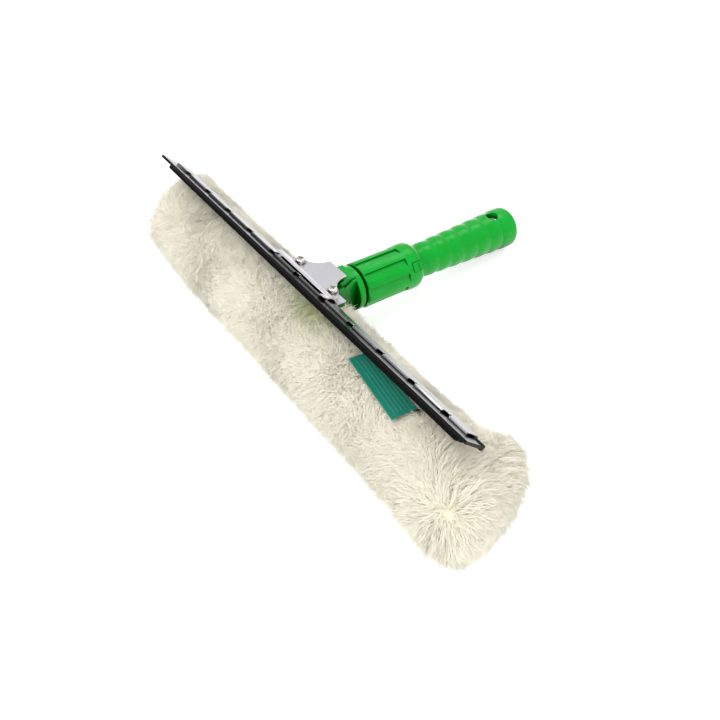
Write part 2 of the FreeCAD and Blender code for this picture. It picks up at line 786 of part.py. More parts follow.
def make_clamp_jaw():
    top_rise = -channel_thickness - slide_gap
    under_rise = top_rise - plate_thickness
    flat = box(-jaw_half_length, jaw_half_length, jaw_bend_y, jaw_back, jaw_underside, jaw_top)
    slope = squeegee_slab([(jaw_back_reach, top_rise), (jaw_front_reach, top_rise),
                           (jaw_front_reach, under_rise), (jaw_back_reach, under_rise)],
                          -jaw_half_length, jaw_half_length)
    jaw = flat.fuse(slope).removeSplitter()
    for x in (-screw_x, screw_x):
        jaw = jaw.cut(rod_z(x, screw_y, wing_bottom, plate_top, screw_diameter / 2 + screw_hole_gap))
    return jaw


def make_clamp_screw(x):
    radius = screw_head_diameter / 2
    top = screw_seat + screw_head_height
    head = rod_z(x, screw_y, screw_seat, top, radius)
    rims = [edge for edge in head.Edges if len(edge.Vertexes) == 1 and edge.CenterOfMass.z > top - seat_gap]
    head = head.makeFillet(screw_head_edge, rims)
    shank = rod_z(x, screw_y, screw_seat - screw_length, screw_seat, screw_diameter / 2)
    screw = head.fuse(shank)
    half_span = recess_span / 2
    half_width = recess_width / 2
    across = box(x - half_span, x + half_span, screw_y - half_width, screw_y + half_width,
                 top - recess_depth, top + overrun)
    along = box(x - half_width, x + half_width, screw_y - half_span, screw_y + half_span,
                top - recess_depth, top + overrun)
    return screw.cut(across).cut(along)


def make_spring_washer(x):
    outer = rod_z(x, screw_y, plate_top, screw_seat, spring_washer_diameter / 2)
    inner = rod_z(x, screw_y, plate_underside, top_of_washer_cut(), screw_diameter / 2 + slide_gap)
    split = box(x, x + spring_washer_diameter, screw_y - spring_washer_split / 2,
                screw_y + spring_washer_split / 2, plate_underside, top_of_washer_cut())
    return outer.cut(inner).cut(split)


def top_of_washer_cut():
    return screw_seat + overrun


def rest_angle():
    # the tip back at which sleeve and grip end lie on one level, by halving
    def sleeve_above_grip(angle):
        sine = math.sin(angle)
        cosine = math.cos(angle)
        reach = math.hypot(sleeve_half_width * sine, sleeve_half_height * cosine)
        sleeve_low = sleeve_z * cosine - reach + sleeve_flat
        round_y = grip_end - grip_end_round
        round_radius = grip_last_crest - grip_end_round
        grip_low = -round_y * sine - round_radius * cosine - grip_end_round
        return sleeve_low - grip_low

    low = 0.0
    high = math.pi / 4
    for _ in range(50):
        middle = (low + high) / 2
        if sleeve_above_grip(middle) > 0:
            high = middle
        else:
            low = middle
    return math.degrees((low + high) / 2)


def tip_back(shape, angle):
    tipped = shape.copy()
    tipped.rotate(Vec(0, 0, 0), Vec(1, 0, 0), -angle)
    return tipped


def build():
    return {
        "fleece_sleeve": make_sleeve(),
        "sleeve_label": make_label(),
        "closure_loop_strip": closure_strip(0),
        "closure_hook_strip": closure_strip(1),
        "t_bar": make_bar(),
        "t_bar_cap_left": make_bar_cap(-1),
        "t_bar_cap_right": make_bar_cap(1),
        "t_bar_screws": make_bar_screws(),
        "head_yoke": make_head(),
        "friction_washer": make_friction_washer(),
        "locking_collar": make_collar(),
        "latch_tab": make_latch_tab(),
        "latch_spring": make_latch_spring(),
        "grip": make_grip(),
        "bracket_plate": make_bracket_plate(),
        "clamp_jaw": make_clamp_jaw(),
        "clamp_screw_left": make_clamp_screw(-screw_x),
        "clamp_screw_right": make_clamp_screw(screw_x),
        "spring_washer_left": make_spring_washer(-screw_x),
        "spring_washer_right": make_spring_washer(screw_x),
        "clamp_nuts": make_clamp_nuts(),
        "squeegee_channel": make_channel(),
        "squeegee_rubber": make_blade(),
        "backing_strip": make_backing(),
        "channel_clips": make_channel_clips(),
    }


def main():
    angle = rest_angle()
    pieces = {name: tip_back(shape, angle) for name, shape in build().items()}
    floor_z = pieces["grip"].optimalBoundingBox().ZMin
    room = bar_length + grip_end
    below = box(-room, room, -room, room, floor_z - room, floor_z)
    pieces["fleece_sleeve"] = pieces["fleece_sleeve"].cut(below)
    sleeve = pieces["fleece_sleeve"].optimalBoundingBox()
    rubber = pieces["squeegee_rubber"].optimalBoundingBox()
    back_y = pieces["grip"].optimalBoundingBox().YMax
    middle_x = (min(sleeve.XMin, rubber.XMin) + max(sleeve.XMax, rubber.XMax)) / 2
    shift = Vec(-middle_x, -(sleeve.YMin + back_y) / 2, -floor_z)
    for name, shape in pieces.items():
        shape.translate(shift)
        shape.exportStep("parts/" + name + ".step")
    print("rest angle", angle, "shift", shift.x, shift.y, shift.z)


main()
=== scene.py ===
import math

import bpy
import numpy as np
from mathutils import Euler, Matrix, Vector


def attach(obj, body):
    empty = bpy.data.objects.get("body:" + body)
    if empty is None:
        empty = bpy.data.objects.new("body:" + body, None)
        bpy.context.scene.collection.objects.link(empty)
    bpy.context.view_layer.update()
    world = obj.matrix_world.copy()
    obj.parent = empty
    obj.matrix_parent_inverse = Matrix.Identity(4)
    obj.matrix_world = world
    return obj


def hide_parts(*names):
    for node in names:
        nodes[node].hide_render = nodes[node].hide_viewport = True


# Window strip washer with a squeegee clamped above its fleece sleeve: the looks of the
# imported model. Lengths are in metres. The sleeve, label and closure are shaped in the
# tool's own axes: X along the T-bar, Y back along the handle, Z up and the origin where
# the two cross. to_row() then lays the tool down as it rests on the table.

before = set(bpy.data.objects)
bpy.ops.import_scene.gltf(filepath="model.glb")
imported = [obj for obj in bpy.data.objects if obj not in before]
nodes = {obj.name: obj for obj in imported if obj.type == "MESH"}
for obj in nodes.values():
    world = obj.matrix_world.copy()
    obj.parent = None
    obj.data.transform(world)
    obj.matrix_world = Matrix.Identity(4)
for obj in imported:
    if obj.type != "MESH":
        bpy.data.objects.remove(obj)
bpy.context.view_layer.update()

MM = 0.001
rng = np.random.default_rng(3507)

# How the tool lies: tipped back about X, then moved
REST_ANGLE = math.radians(8.439315668362878)
REST_SHIFT = np.array([-9.570650183656568, -82.42979568976145, 46.50730822767616]) * MM

# Camera
CAMERA_AT = (0.35945935, -0.27135352, 0.4436949)
CAMERA_TURN = (42.05303936, 3.14923063, 53.46004521)
CAMERA_LENS = 40.0
SENSOR_WIDTH = 36.0
CLIP_START = 0.01

# Softboxes: where each one stands, what it faces, its width and its watts
SOFTBOXES = {
    "softbox_above": ((-0.25, -0.65, 1.2), (-0.03, -0.02, 0.03), 0.9, 8.2),
    "softbox_right": ((1.0, -0.4, 0.65), (0.05, -0.05, 0.03), 0.9, 5.0),
    "softbox_behind": ((-0.35, 0.95, 1.25), (0.0, 0.05, 0.03), 0.7, 4.4),
}
WORLD_LIGHT = 0.82
WORLD_SEEN = 1.0
FLOOR_HALF_SIZE = 6.0
FLOOR_GLOW = 0.5

# Fleece sleeve, over the tips of its pile
SLEEVE_LEFT = -186.0 * MM
SLEEVE_RIGHT = 213.5 * MM
SLEEVE_HALF_WIDTH = 38.5 * MM
SLEEVE_HALF_HEIGHT = 31.0 * MM
SLEEVE_Z = -16.0 * MM
LEFT_CAP = 11.0 * MM
RIGHT_CAP = 23.0 * MM
# Places along the sleeve, with the shares of its width and height there, how far it is
# shifted back, its slant and the share that the crease on top takes off
SLEEVE_PLACES = np.array([-186.0, -175.0, -112.0, 139.5, 155.5, 187.5, 190.5, 213.5]) * MM
WIDTH_SHARES = [1.0, 1.0, 1.0, 1.0, 0.97, 1.18, 1.18, 1.18]
HEIGHT_SHARES = [1.0, 1.0, 1.0, 1.0, 0.97, 0.97, 0.96, 0.96]
SHIFTS_BACK = np.array([3.0, 3.0, 0.0, 0.0, 0.0, 4.2, 6.0, 6.0]) * MM
SLANTS = [0.45, 0.45, 0.0, 0.0, 0.0, 0.23, 0.33, 0.33]
CREASES = [0.0, 0.0, 0.0, 0.0, 0.0, 0.13, 0.18, 0.3]
CREASE_TURN = math.radians(92.0)
CREASE_SPREAD = math.radians(17.0)
CREASE_NARROWING = 0.4
# Furrow between the sleeve and its turned-in right end
FURROW = np.array([(178.0, 11.0, 11.6), (190.0, 8.6, 8.7), (199.0, 9.8, 4.7), (205.0, 10.2, -0.8),
                   (210.0, 4.1, -7.3), (214.0, -3.5, -15.5), (214.0, -11.6, -26.0)]) * MM
FURROW_DEPTH = 3.5 * MM
FURROW_HALF_WIDTH = 4.0 * MM
# Steps along and around the sleeve that its outward directions are taken over
NORMAL_STEP = 0.15 * MM
NORMAL_TURN = 0.01
END_MARGIN = 0.02 * MM

# Slow fields over the sleeve: the pitch and seed of each, and how one is made up
BACKING_FIELD = (11.0 * MM, 5)
SWIRL_ALONG_FIELD = (70.0 * MM, 11)
SWIRL_AROUND_FIELD = (60.0 * MM, 12)
LENGTH_FIELD = (26.0 * MM, 13)
FIRST_LEAN_FIELD = (20.0 * MM, 14)
LAST_LEAN_FIELD = (20.0 * MM, 15)
CURL_FIELD = (16.0 * MM, 16)
WAVES_IN_FIELD = 6
WAVE_TOTAL = 3.2

# Backing under the pile; its rows stand closer together towards both ends
PILE_HEIGHT = 5.5 * MM
BACKING_ROWS = 150
BACKING_COLUMNS = 96
BACKING_CROWDING = 0.11
BACKING_END_MARGIN = 0.1 * MM
BACKING_LUMPS = 0.8 * MM
BACKING_CLEARANCE = 1.0 * MM
BACKING_ALONG_STRAND = 0.5
BACKING_TONE = 0.3

# Where a lock of the pile starts
LOCK_PITCH = 1.95 * MM
LOCK_PATH_STEPS = 6001
LOCK_SCATTER_AROUND = 0.3
LOCK_SCATTER_ALONG = 0.4

# Which way the pile lies
SWIRL = 0.5
DOWNHILL = 0.5
LAY_SCATTER = 0.3
END_LEAN_REACH = 30.0 * MM
LEFT_END_LEAN = -0.9
RIGHT_END_LEAN = 0.5
ROSETTE = np.array([195.0, -29.0, 4.3]) * MM
ROSETTE_FAN = 1.8
ROSETTE_REACH = 34.0 * MM
ROSETTE_HEART = 8.0 * MM

# Strands, from the sleeve's plain part to its right end over the stretch given
STRANDS_PER_LOCK = 9
RIGHT_END_STRETCH = [120.0 * MM, 180.0 * MM]
STRAND_LENGTHS = [10.8 * MM, 13.5 * MM]
LOCK_SPREADS = [2.1 * MM, 1.5 * MM]
LENGTH_SWING = 0.1
LENGTH_SCATTER = 0.08
LENGTH_IN_LOCK = (0.72, 1.1)
STRAND_RADIUS = 0.18 * MM
RADIUS_IN_LOCK = (0.7, 1.2)
RADIUS_AT_ROOT = 0.9
ROOT_DEPTH = 0.9 * MM
# Degrees from upright, and their swing, below and above a strand's bend
FIRST_LEAN = (34.0, 6.0)
LAST_LEAN = (63.0, 7.0)
CURL_SWING = 0.5
CURL_SCATTER = 0.15
# How far a lock draws in and strays at its middle and at its tips
MIDDLE_DRAWN_IN = 0.05
MIDDLE_SCATTER = 0.45 * MM
TIP_DRAWN_IN = 0.15
TIP_SCATTER = 1.0 * MM
LOOSE_SHARE = 0.08
LOOSE_LEAN = 0.6
# Longer tuft beside the head's neck
TUFT = np.array([21.0, 33.0, 1.0]) * MM
TUFT_SPREAD = 8.0 * MM
TUFT_GROWTH = 0.6
TUFT_HEART = 0.4
FACING_SHARE = 0.92
FLOOR_CLEARANCE = 0.3 * MM
ROOM_MARGIN = 2.0 * MM
PILE_PIECES = 11

# One strand: three corners at its root, three at its bend, and its tip
STRAND_CORNERS = 7
STRAND_FACES = [(0, 1, 4, 3), (1, 2, 5, 4), (2, 0, 3, 5), (3, 4, 6), (4, 5, 6), (5, 3, 6), (2, 1, 0)]
ALONG_STRAND = [0.0, 0.0, 0.0, 0.5, 0.5, 0.5, 1.0]
# Its layout in its own cell of the map: rings round the tip, with the root face aside
MAP_RINGS = (0.42, 0.2)
MAP_TURNS = (0.5, 2.6, 4.7)
MAP_MIDDLE = 0.5
MAP_ROOT_FACE = [(0.03, 0.03), (0.12, 0.03), (0.03, 0.12)]

# Rooms in the pile for the head's neck, its wings, the clamp's jaw, and the head's flange
# with the collar, in millimetres of the tool's axes
PILE_ROOMS = [
    ((-13.0, 11.0, -60.0), (13.0, 48.0, 40.0)),
    ((-27.5, 4.0, 6.0), (27.5, 25.5, 40.0)),
    ((-29.5, -6.0, 15.8), (29.5, 25.5, 40.0)),
    ((-17.5, 45.0, -17.5), (17.5, 60.0, 17.5)),
]

# Painted green bounce light from the head on the pile in front of and beside it: middle, reach, fall and
# share
GREEN_BOUNCE_PATCHES = [
    ((19.0, -2.0, 13.0), (24.0, 11.0, 16.0), 1.3, 1.0),
    ((22.0, 34.0, 0.0), (14.0, 9.0, 16.0), 1.0, 0.4),
]

# Label on the sleeve
LABEL_FRONT = (75.0 * MM, -8.5 * MM)
LABEL_WIDTH = 57.0 * MM
LABEL_DEPTH = 30.0 * MM
LABEL_COLUMNS = 116
LABEL_ROWS = 62
LABEL_THICKNESS = 0.7 * MM
LABEL_TURN = math.radians(-9.0)
LABEL_LIFT = 0.6 * MM
LABEL_SIDE_LIMIT = 0.97
# Rise of the two curled corners, and how fast each fades
RIGHT_FRONT_CURL = (1.6 * MM, 6.0)
LEFT_BACK_CURL = (1.0 * MM, 8.0)
LABEL_RIPPLE = 0.35 * MM
RIPPLES_ACROSS = 5.0
RIPPLES_BACK = 2.0
# The back part is sewn down into the pile
LABEL_FREE_SHARE = 0.56
LABEL_SEWN_BLEND = 0.2
LABEL_SEWN_DEPTH = 5.7 * MM
HEM_WIDTH = 3.2 * MM
HEM_EDGE = 0.6 * MM
HEM_RISE = 0.35 * MM
# The pile is pressed down under the label, and shorter round it
PRESSED_MARGIN = 2.5 * MM
PRESSED_LENGTH = 0.6
PRESSED_BACK_MARGIN = 0.06
# Stitches
STITCH_FROM_EDGE = 2.0 * MM
STITCH_PITCH = 2.4 * MM
STITCH_RADIUS = 0.22 * MM
STITCH_PULL = 0.3 * MM
STITCH_PULL_WIDTH = 0.7 * MM
STITCH_SHARES = np.array([0.14, 0.32, 0.5, 0.68, 0.86])
STITCH_ARCH = np.array([-1.4, 0.2, 0.5, 0.2, -1.4]) * 0.18 * MM
STITCH_LIFT = LABEL_THICKNESS / 2 + 0.05 * MM
# Short dark threads at the label's right edge; reach, side, arch and end in millimetres
LOOSE_THREAD_PLACES = np.linspace(0.5, 0.95, 11)
LOOSE_THREAD_REACH = (1.5, 4.0)
LOOSE_THREAD_SIDE = (-2.5, 2.5)
LOOSE_THREAD_SHARES = np.array([-0.2, 0.25, 0.6, 0.85, 1.0])
LOOSE_THREAD_ARCH = [-0.6, 0.1, 0.7, 0.4]
LOOSE_THREAD_END = (-0.8, 1.2)
LOOSE_THREAD_RADIUS = 0.3 * MM
THREAD_SIDES = 6

# Hook and loop closure inside the sleeve's right end
CLOSURE_START = 170.3 * MM
CLOSURE_LENGTH = 24.0 * MM
CLOSURE_WIDTH = 48.0 * MM
CLOSURE_THICKNESS = 1.5 * MM
LOOP_STRIP_BOTTOM = -15.65 * MM
HOOK_STRIP_BOTTOM = -13.85 * MM
TAPE_COLUMNS = 25
TAPE_ROWS = 49
TAPE_THICKNESS = 0.6 * MM
TAPE_SKIN = 0.08 * MM
TAPE_WEAVE = 0.04 * MM
TAPE_WEAVE_PITCH = 2.0 * MM
HOOK_PITCH = 1.5 * MM
HOOK_FIRST = 1.6 * MM
HOOK_LAST = 1.2 * MM
HOOK_GAP = 0.1 * MM
HOOK_RADIUS = 0.12 * MM
# In millimetres, to either side
HOOK_BEND = 0.25
# A hook's points: how far it leans along X, its share of the side bend and of the height
HOOK_POINTS = [(0.0, 0.0, 0.0), (0.0, 0.0, 0.5), (0.25 * MM, 1.0, 0.95), (0.6 * MM, 1.0, 0.8)]

# Rounding of the edges of the nodes that show
EDGE_ROUNDING = {
    "head_yoke": 0.35 * MM, "locking_collar": 0.3 * MM, "latch_tab": 0.25 * MM, "grip": 0.4 * MM,
    "bracket_plate": 0.12 * MM, "squeegee_channel": 0.1 * MM, "squeegee_rubber": 0.15 * MM,
    "clamp_screw_left": 0.15 * MM, "clamp_screw_right": 0.15 * MM,
}
ROUNDED_FROM = math.radians(38.0)
WELD_DISTANCE = 0.001 * MM


def to_row(points):
    """From the tool's own axes to the row frame."""
    points = np.asarray(points, float)
    sine, cosine = math.sin(REST_ANGLE), math.cos(REST_ANGLE)
    x, y, z = points[..., 0], points[..., 1], points[..., 2]
    turned = np.stack([x, y * cosine + z * sine, -y * sine + z * cosine], -1)
    return turned + REST_SHIFT


def unit(vectors):
    return vectors / np.maximum(np.linalg.norm(vectors, axis=-1, keepdims=True), 1e-12)


def smooth(share):
    """A share from 0 to 1 that starts and ends gently."""
    return share * share * (3 - 2 * share)


# ---- shader node helpers


FLOAT = "NodeSocketFloat"
COLOUR = "NodeSocketColor"


def place(tree, kind, inputs=None, **settings):
    """A new node with its settings made and its inputs linked or set."""
    node = tree.nodes.new(kind)
    for name, value in settings.items():
        setattr(node, name, value)
    for name, value in (inputs or {}).items():
        if isinstance(value, bpy.types.NodeSocket):
            tree.links.new(value, node.inputs[name])
        else:
            node.inputs[name].default_value = value
    return node


def mixed(tree, share, first, second):
    return place(tree, "ShaderNodeMix", {0: share, 6: first, 7: second}, data_type="RGBA").outputs[2]


def combined(tree, operation, first, second):
    return place(tree, "ShaderNodeMath", {0: first, 1: second}, operation=operation).outputs[0]


def ranged(tree, value, low, high, from_low=0.0, from_high=1.0):
    """A value taken from one range to another, and held inside it."""
    limits = {"From Min": from_low, "From Max": from_high, "To Min": low, "To Max": high}
    return place(tree, "ShaderNodeMapRange", {"Value": value, **limits}).outputs[0]


def noise(tree, scale, detail, roughness=0.5):
    """Noise over the object's own coordinates."""
    spot = place(tree, "ShaderNodeTexCoord").outputs["Object"]
    inputs = {"Vector": spot, "Scale": scale, "Detail": detail, "Roughness": roughness}
    return place(tree, "ShaderNodeTexNoise", inputs).outputs["Fac"]


def attribute(tree, name):
    return place(tree, "ShaderNodeAttribute", attribute_name=name).outputs["Fac"]


def bump(tree, shader, height, distance):
    node = place(tree, "ShaderNodeBump", {"Height": height, "Distance": distance})
    tree.links.new(node.outputs[0], shader.inputs["Normal"])


def seen_directly(tree):
    """1 where the camera sees a thing directly, in a reflection or through glass, else 0."""
    path = place(tree, "ShaderNodeLightPath").outputs
    seen = combined(tree, "MAXIMUM", path["Is Camera Ray"], path["Is Glossy Ray"])
    return combined(tree, "MAXIMUM", seen, path["Is Transmission Ray"])


def new_group(name, inputs, outputs):
    tree = bpy.data.node_groups.new(name, "ShaderNodeTree")
    for label, kind, value in inputs:
        socket = tree.interface.new_socket(name=label, in_out="INPUT", socket_type=kind)
        socket.default_value = value
    for label, kind in outputs:
        tree.interface.new_socket(name=label, in_out="OUTPUT", socket_type=kind)
    return tree, tree.nodes.new("NodeGroupInput").outputs, tree.nodes.new("NodeGroupOutput").inputs


def use_group(tree, group, inputs):
    return place(tree, "ShaderNodeGroup", inputs, node_tree=group).outputs


def new_material(name, **uniform):
    """A material with one Principled shader; uniform values go on its own sockets."""
    material = bpy.data.materials.new(name)
    material.use_nodes = True
    tree = material.node_tree
    shader = tree.nodes["Principled BSDF"]
    for label, value in uniform.items():
        shader.inputs[label.replace("_", " ")].default_value = value
    return material, tree, shader


def linear(red, green, blue):
    """A colour written as it looks on screen, 0 to 255, as the shader wants it."""
    parts = []
    for part in (red, green, blue):
        part = part / 255.0
        parts.append(part / 12.92 if part <= 0.04045 else ((part + 0.055) / 1.055) ** 2.4)
    return (*parts, 1.0)


# ---- shared effects


def make_mottle_group():
    """Slow drift between two colours over the surface."""
    tree, given, out = new_group(
        "mottle",
        [("First", COLOUR, (1, 1, 1, 1)), ("Second", COLOUR, (0, 0, 0, 1)),
         ("Patches per metre", FLOAT, 60.0), ("Contrast", FLOAT, 1.0)],
        [("Colour", COLOUR), ("Mask", FLOAT)])
    patches = noise(tree, given["Patches per metre"], detail=4.0, roughness=0.6)
    centred = combined(tree, "SUBTRACT", patches, 0.5)
    spread = place(tree, "ShaderNodeMath", {0: centred, 1: given["Contrast"], 2: 0.5},
                   operation="MULTIPLY_ADD", use_clamp=True).outputs[0]
    tree.links.new(mixed(tree, spread, given["First"], given["Second"]), out["Colour"])
    tree.links.new(spread, out["Mask"])
    return tree


def make_grain_group():
    """Fine even grain, as a height."""
    tree, given, out = new_group(
        "fine grain", [("Grains per metre", FLOAT, 2000.0)], [("Height", FLOAT)])
    tree.links.new(noise(tree, given["Grains per metre"], detail=2.0), out["Height"])
    return tree


def make_brushing_group():
    """Long fine lines along X, as rolled and brushed metal has."""
    tree, given, out = new_group(
        "brushing",
        [("Lines per metre", FLOAT, 4000.0), ("Length share", FLOAT, 0.01),
         ("Low", FLOAT, 0.2), ("High", FLOAT, 0.4)],
        [("Value", FLOAT), ("Height", FLOAT)])
    spot = place(tree, "ShaderNodeTexCoord").outputs["Object"]
    apart = place(tree, "ShaderNodeSeparateXYZ", {0: spot}).outputs
    short = combined(tree, "MULTIPLY", apart["X"], given["Length share"])
    line = place(tree, "ShaderNodeCombineXYZ", {"X": short, "Y": apart["Y"], "Z": apart["Z"]}).outputs[0]
    lines = place(tree, "ShaderNodeTexNoise",
                  {"Vector": line, "Scale": given["Lines per metre"], "Detail": 3.0}).outputs["Fac"]
    value = ranged(tree, lines, given["Low"], given["High"], from_low=0.3, from_high=0.7)
    tree.links.new(value, out["Value"])
    tree.links.new(lines, out["Height"])
    return tree


def make_edge_group():
    """Where an edge stands out and has been rubbed."""
    tree, given, out = new_group(
        "rubbed edges",
        [("Start", FLOAT, 0.52), ("Full", FLOAT, 0.6), ("Breaks per metre", FLOAT, 500.0)],
        [("Mask", FLOAT)])
    pointiness = place(tree, "ShaderNodeNewGeometry").outputs["Pointiness"]
    edge = ranged(tree, pointiness, 0.0, 1.0, from_low=given["Start"], from_high=given["Full"])
    breaks = noise(tree, given["Breaks per metre"], detail=3.0)
    broken = ranged(tree, breaks, 0.0, 1.0, from_low=0.35, from_high=0.65)
    tree.links.new(combined(tree, "MULTIPLY", edge, broken), out["Mask"])
    return tree


def make_corner_shade_group():
    """Painted shade where a surface lies deep in a corner or under something, read from how hemmed in it
    is.
    """
    tree, given, out = new_group(
        "grime in corners", [("Reach", FLOAT, 0.01), ("Open", FLOAT, 0.8), ("Closed", FLOAT, 0.3)],
        [("Mask", FLOAT)])
    covered = place(tree, "ShaderNodeAmbientOcclusion", {"Distance": given["Reach"]}, samples=8)
    mask = ranged(tree, covered.outputs["AO"], 1.0, 0.0, from_low=given["Closed"], from_high=given["Open"])
    tree.links.new(mask, out["Mask"])
    return tree


MOTTLE = make_mottle_group()
GRAIN = make_grain_group()
BRUSHING = make_brushing_group()
EDGES = make_edge_group()
CORNER_SHADE = make_corner_shade_group()


# ---- materials


# The most that rubbed edges, a strand's own tone and the painted green bounce light from the head take over
# a colour
MOST_RUBBED = 0.35
MOST_ROOT_COLOUR = 0.25
MOST_GREEN_BOUNCE = 0.75
# Share of a strand above which it has its tip's colour; below it the root colour is painted shade deep in
# the pile
TIP_COLOUR_FROM = 0.5


def mottled(tree, first, second, patches, contrast):
    return use_group(tree, MOTTLE, {"First": first, "Second": second,
                                    "Patches per metre": patches, "Contrast": contrast})


def grained(tree, shader, grains, depth):
    bump(tree, shader, use_group(tree, GRAIN, {"Grains per metre": grains})["Height"], depth)


def moulded_plastic(name, base, drift, worn, rough, grain=0.02 * MM, painted_shade=None, **uniform):
    """Moulded plastic with slow drift in its colour, rubbed edges and, if a shade colour is given,
    that colour painted as shade in its corners and recesses."""
    material, tree, shader = new_material(name, **uniform)
    tone = mottled(tree, base, drift, patches=45.0, contrast=1.6)
    edge = use_group(tree, EDGES, {"Start": 0.53, "Full": 0.62, "Breaks per metre": 400.0})
    rubbed = combined(tree, "MULTIPLY", edge["Mask"], MOST_RUBBED)
    colour = mixed(tree, rubbed, tone["Colour"], worn)
    # Painted shade: the given dark colour where other surfaces hem this one in
    if painted_shade:
        corner = use_group(tree, CORNER_SHADE, {"Reach": 22 * MM, "Open": 0.97, "Closed": 0.35})
        colour = mixed(tree, corner["Mask"], colour, painted_shade)
    tree.links.new(colour, shader.inputs["Base Color"])
    tree.links.new(ranged(tree, tone["Mask"], *rough), shader.inputs["Roughness"])
    grained(tree, shader, grains=1500.0, depth=grain)
    return material


def brushed_metal(name, base, drift, rough, lines, length_share, depth, painted_shade=None, **uniform):
    """Metal with fine lines along it and, if a reach and a colour are given, that colour
    painted as shade in its corners."""
    material, tree, shader = new_material(name, Metallic=1.0, **uniform)
    colour = mottled(tree, base, drift, patches=30.0, contrast=1.5)["Colour"]
    # Painted shade: the given dark colour where other surfaces hem this one in
    if painted_shade:
        corner = use_group(tree, CORNER_SHADE, {"Reach": painted_shade[0], "Open": 0.85, "Closed": 0.5})
        colour = mixed(tree, corner["Mask"], colour, painted_shade[1])
    tree.links.new(colour, shader.inputs["Base Color"])
    brush = use_group(tree, BRUSHING, {"Lines per metre": lines, "Length share": length_share,
                                       "Low": rough[0], "High": rough[1]})
    tree.links.new(brush["Value"], shader.inputs["Roughness"])
    bump(tree, shader, brush["Height"], depth)
    return material


def fleece_material(name, root, tip, shade, bump_depth):
    """Cream pile: darker and warmer towards its roots as painted shade deep in the pile, near white at
    the tips, and greenish in front of the head as painted green bounce light from it."""
    material, tree, shader = new_material(name, Roughness=0.85, Sheen_Weight=0.25, Sheen_Roughness=0.5,
                                          Specular_IOR_Level=0.1)
    patches = mottled(tree, tip, shade, patches=28.0, contrast=1.6)
    # Painted shade deep in the pile: the darker, warmer root colour fades out up to the strand's middle
    clear_of_root_shade = ranged(tree, attribute(tree, "along_strand"), 0.0, 1.0, from_high=TIP_COLOUR_FROM)
    colour = mixed(tree, clear_of_root_shade, root, patches["Colour"])
    darker = ranged(tree, attribute(tree, "strand_tone"), 0.0, MOST_ROOT_COLOUR)
    colour = mixed(tree, darker, colour, root)
    # Painted green bounce light from the head, mixed in by how much of it each strand gets
    green = combined(tree, "MULTIPLY", attribute(tree, "painted_green_bounce"), MOST_GREEN_BOUNCE)
    colour = mixed(tree, green, colour, linear(168, 190, 96))
    tree.links.new(colour, shader.inputs["Base Color"])
    if bump_depth:
        grained(tree, shader, grains=900.0, depth=bump_depth)
    return material


def label_material():
    """Woven teal cloth: fine ribs across the middle, plainer on the folded hem."""
    material, tree, shader = new_material("label cloth", Roughness=0.6, Sheen_Weight=0.08,
                                          Specular_IOR_Level=0.25)
    spot = place(tree, "ShaderNodeUVMap", uv_map="threads").outputs[0]
    ribs = place(tree, "ShaderNodeTexWave", {"Vector": spot, "Scale": 125.0, "Distortion": 0.8,
                                             "Detail": 2.0, "Detail Scale": 3.0}, bands_direction="Y")
    crossing = place(tree, "ShaderNodeTexWave", {"Vector": spot, "Scale": 420.0, "Distortion": 0.6,
                                                 "Detail": 1.0}, bands_direction="X")
    fine = ranged(tree, crossing.outputs["Fac"], 0.6, 1.0)
    threads = combined(tree, "MULTIPLY", ribs.outputs["Fac"], fine)
    tone = mottled(tree, linear(0, 112, 92), linear(0, 94, 76), patches=150.0, contrast=1.8)
    lit = mixed(tree, threads, tone["Colour"], linear(42, 138, 118))
    colour = mixed(tree, attribute(tree, "hem"), lit, linear(0, 120, 98))
    tree.links.new(colour, shader.inputs["Base Color"])
    tree.links.new(ranged(tree, tone["Mask"], 0.5, 0.66), shader.inputs["Roughness"])
    bump(tree, shader, threads, 0.12 * MM)
    return material


def closure_material():
    material, tree, shader = new_material("closure tape", Roughness=0.7, Specular_IOR_Level=0.25)
    tone = mottled(tree, linear(222, 220, 210), linear(208, 206, 196), patches=200.0, contrast=1.5)
    tree.links.new(tone["Colour"], shader.inputs["Base Color"])
    grained(tree, shader, grains=2500.0, depth=0.05 * MM)
    tree.links.new(ranged(tree, tone["Mask"], 0.6, 0.75), shader.inputs["Roughness"])
    return material


def floor_material():
    """Pale floor that glows a little where it is seen, so that it ends in white."""
    material, tree, shader = new_material("pale floor", Roughness=0.9, Specular_IOR_Level=0.0,
                                          Emission_Color=(1, 1, 1, 1))
    tone = mottled(tree, (0.93, 0.93, 0.93, 1), (0.9, 0.9, 0.9, 1), patches=3.0, contrast=1.0)
    tree.links.new(tone["Colour"], shader.inputs["Base Color"])
    glow = combined(tree, "MULTIPLY", seen_directly(tree), FLOOR_GLOW)
    tree.links.new(glow, shader.inputs["Emission Strength"])
    return material


# Green plastic, with dark green painted shade in its corners and recesses
GREEN = moulded_plastic(
    "green plastic", linear(2, 164, 54), linear(0, 148, 28), linear(66, 208, 110), (0.2, 0.28),
    grain=0.006 * MM, painted_shade=linear(0, 76, 4),
    Specular_IOR_Level=0.16, Coat_Weight=0.04, Coat_Roughness=0.14)
BLACK_PLASTIC = moulded_plastic(
    "black plastic", linear(6, 6, 7), linear(10, 10, 11), linear(9, 9, 10), (0.36, 0.46),
    Specular_IOR_Level=0.05)
RUBBER = moulded_plastic(
    "blade rubber", linear(5, 5, 6), linear(9, 9, 10), linear(9, 9, 10), (0.12, 0.2),
    grain=0.004 * MM, Specular_IOR_Level=0.14)
WASHER_PLASTIC = moulded_plastic(
    "washer plastic", linear(214, 213, 206), linear(204, 203, 196), linear(230, 229, 224), (0.4, 0.5))
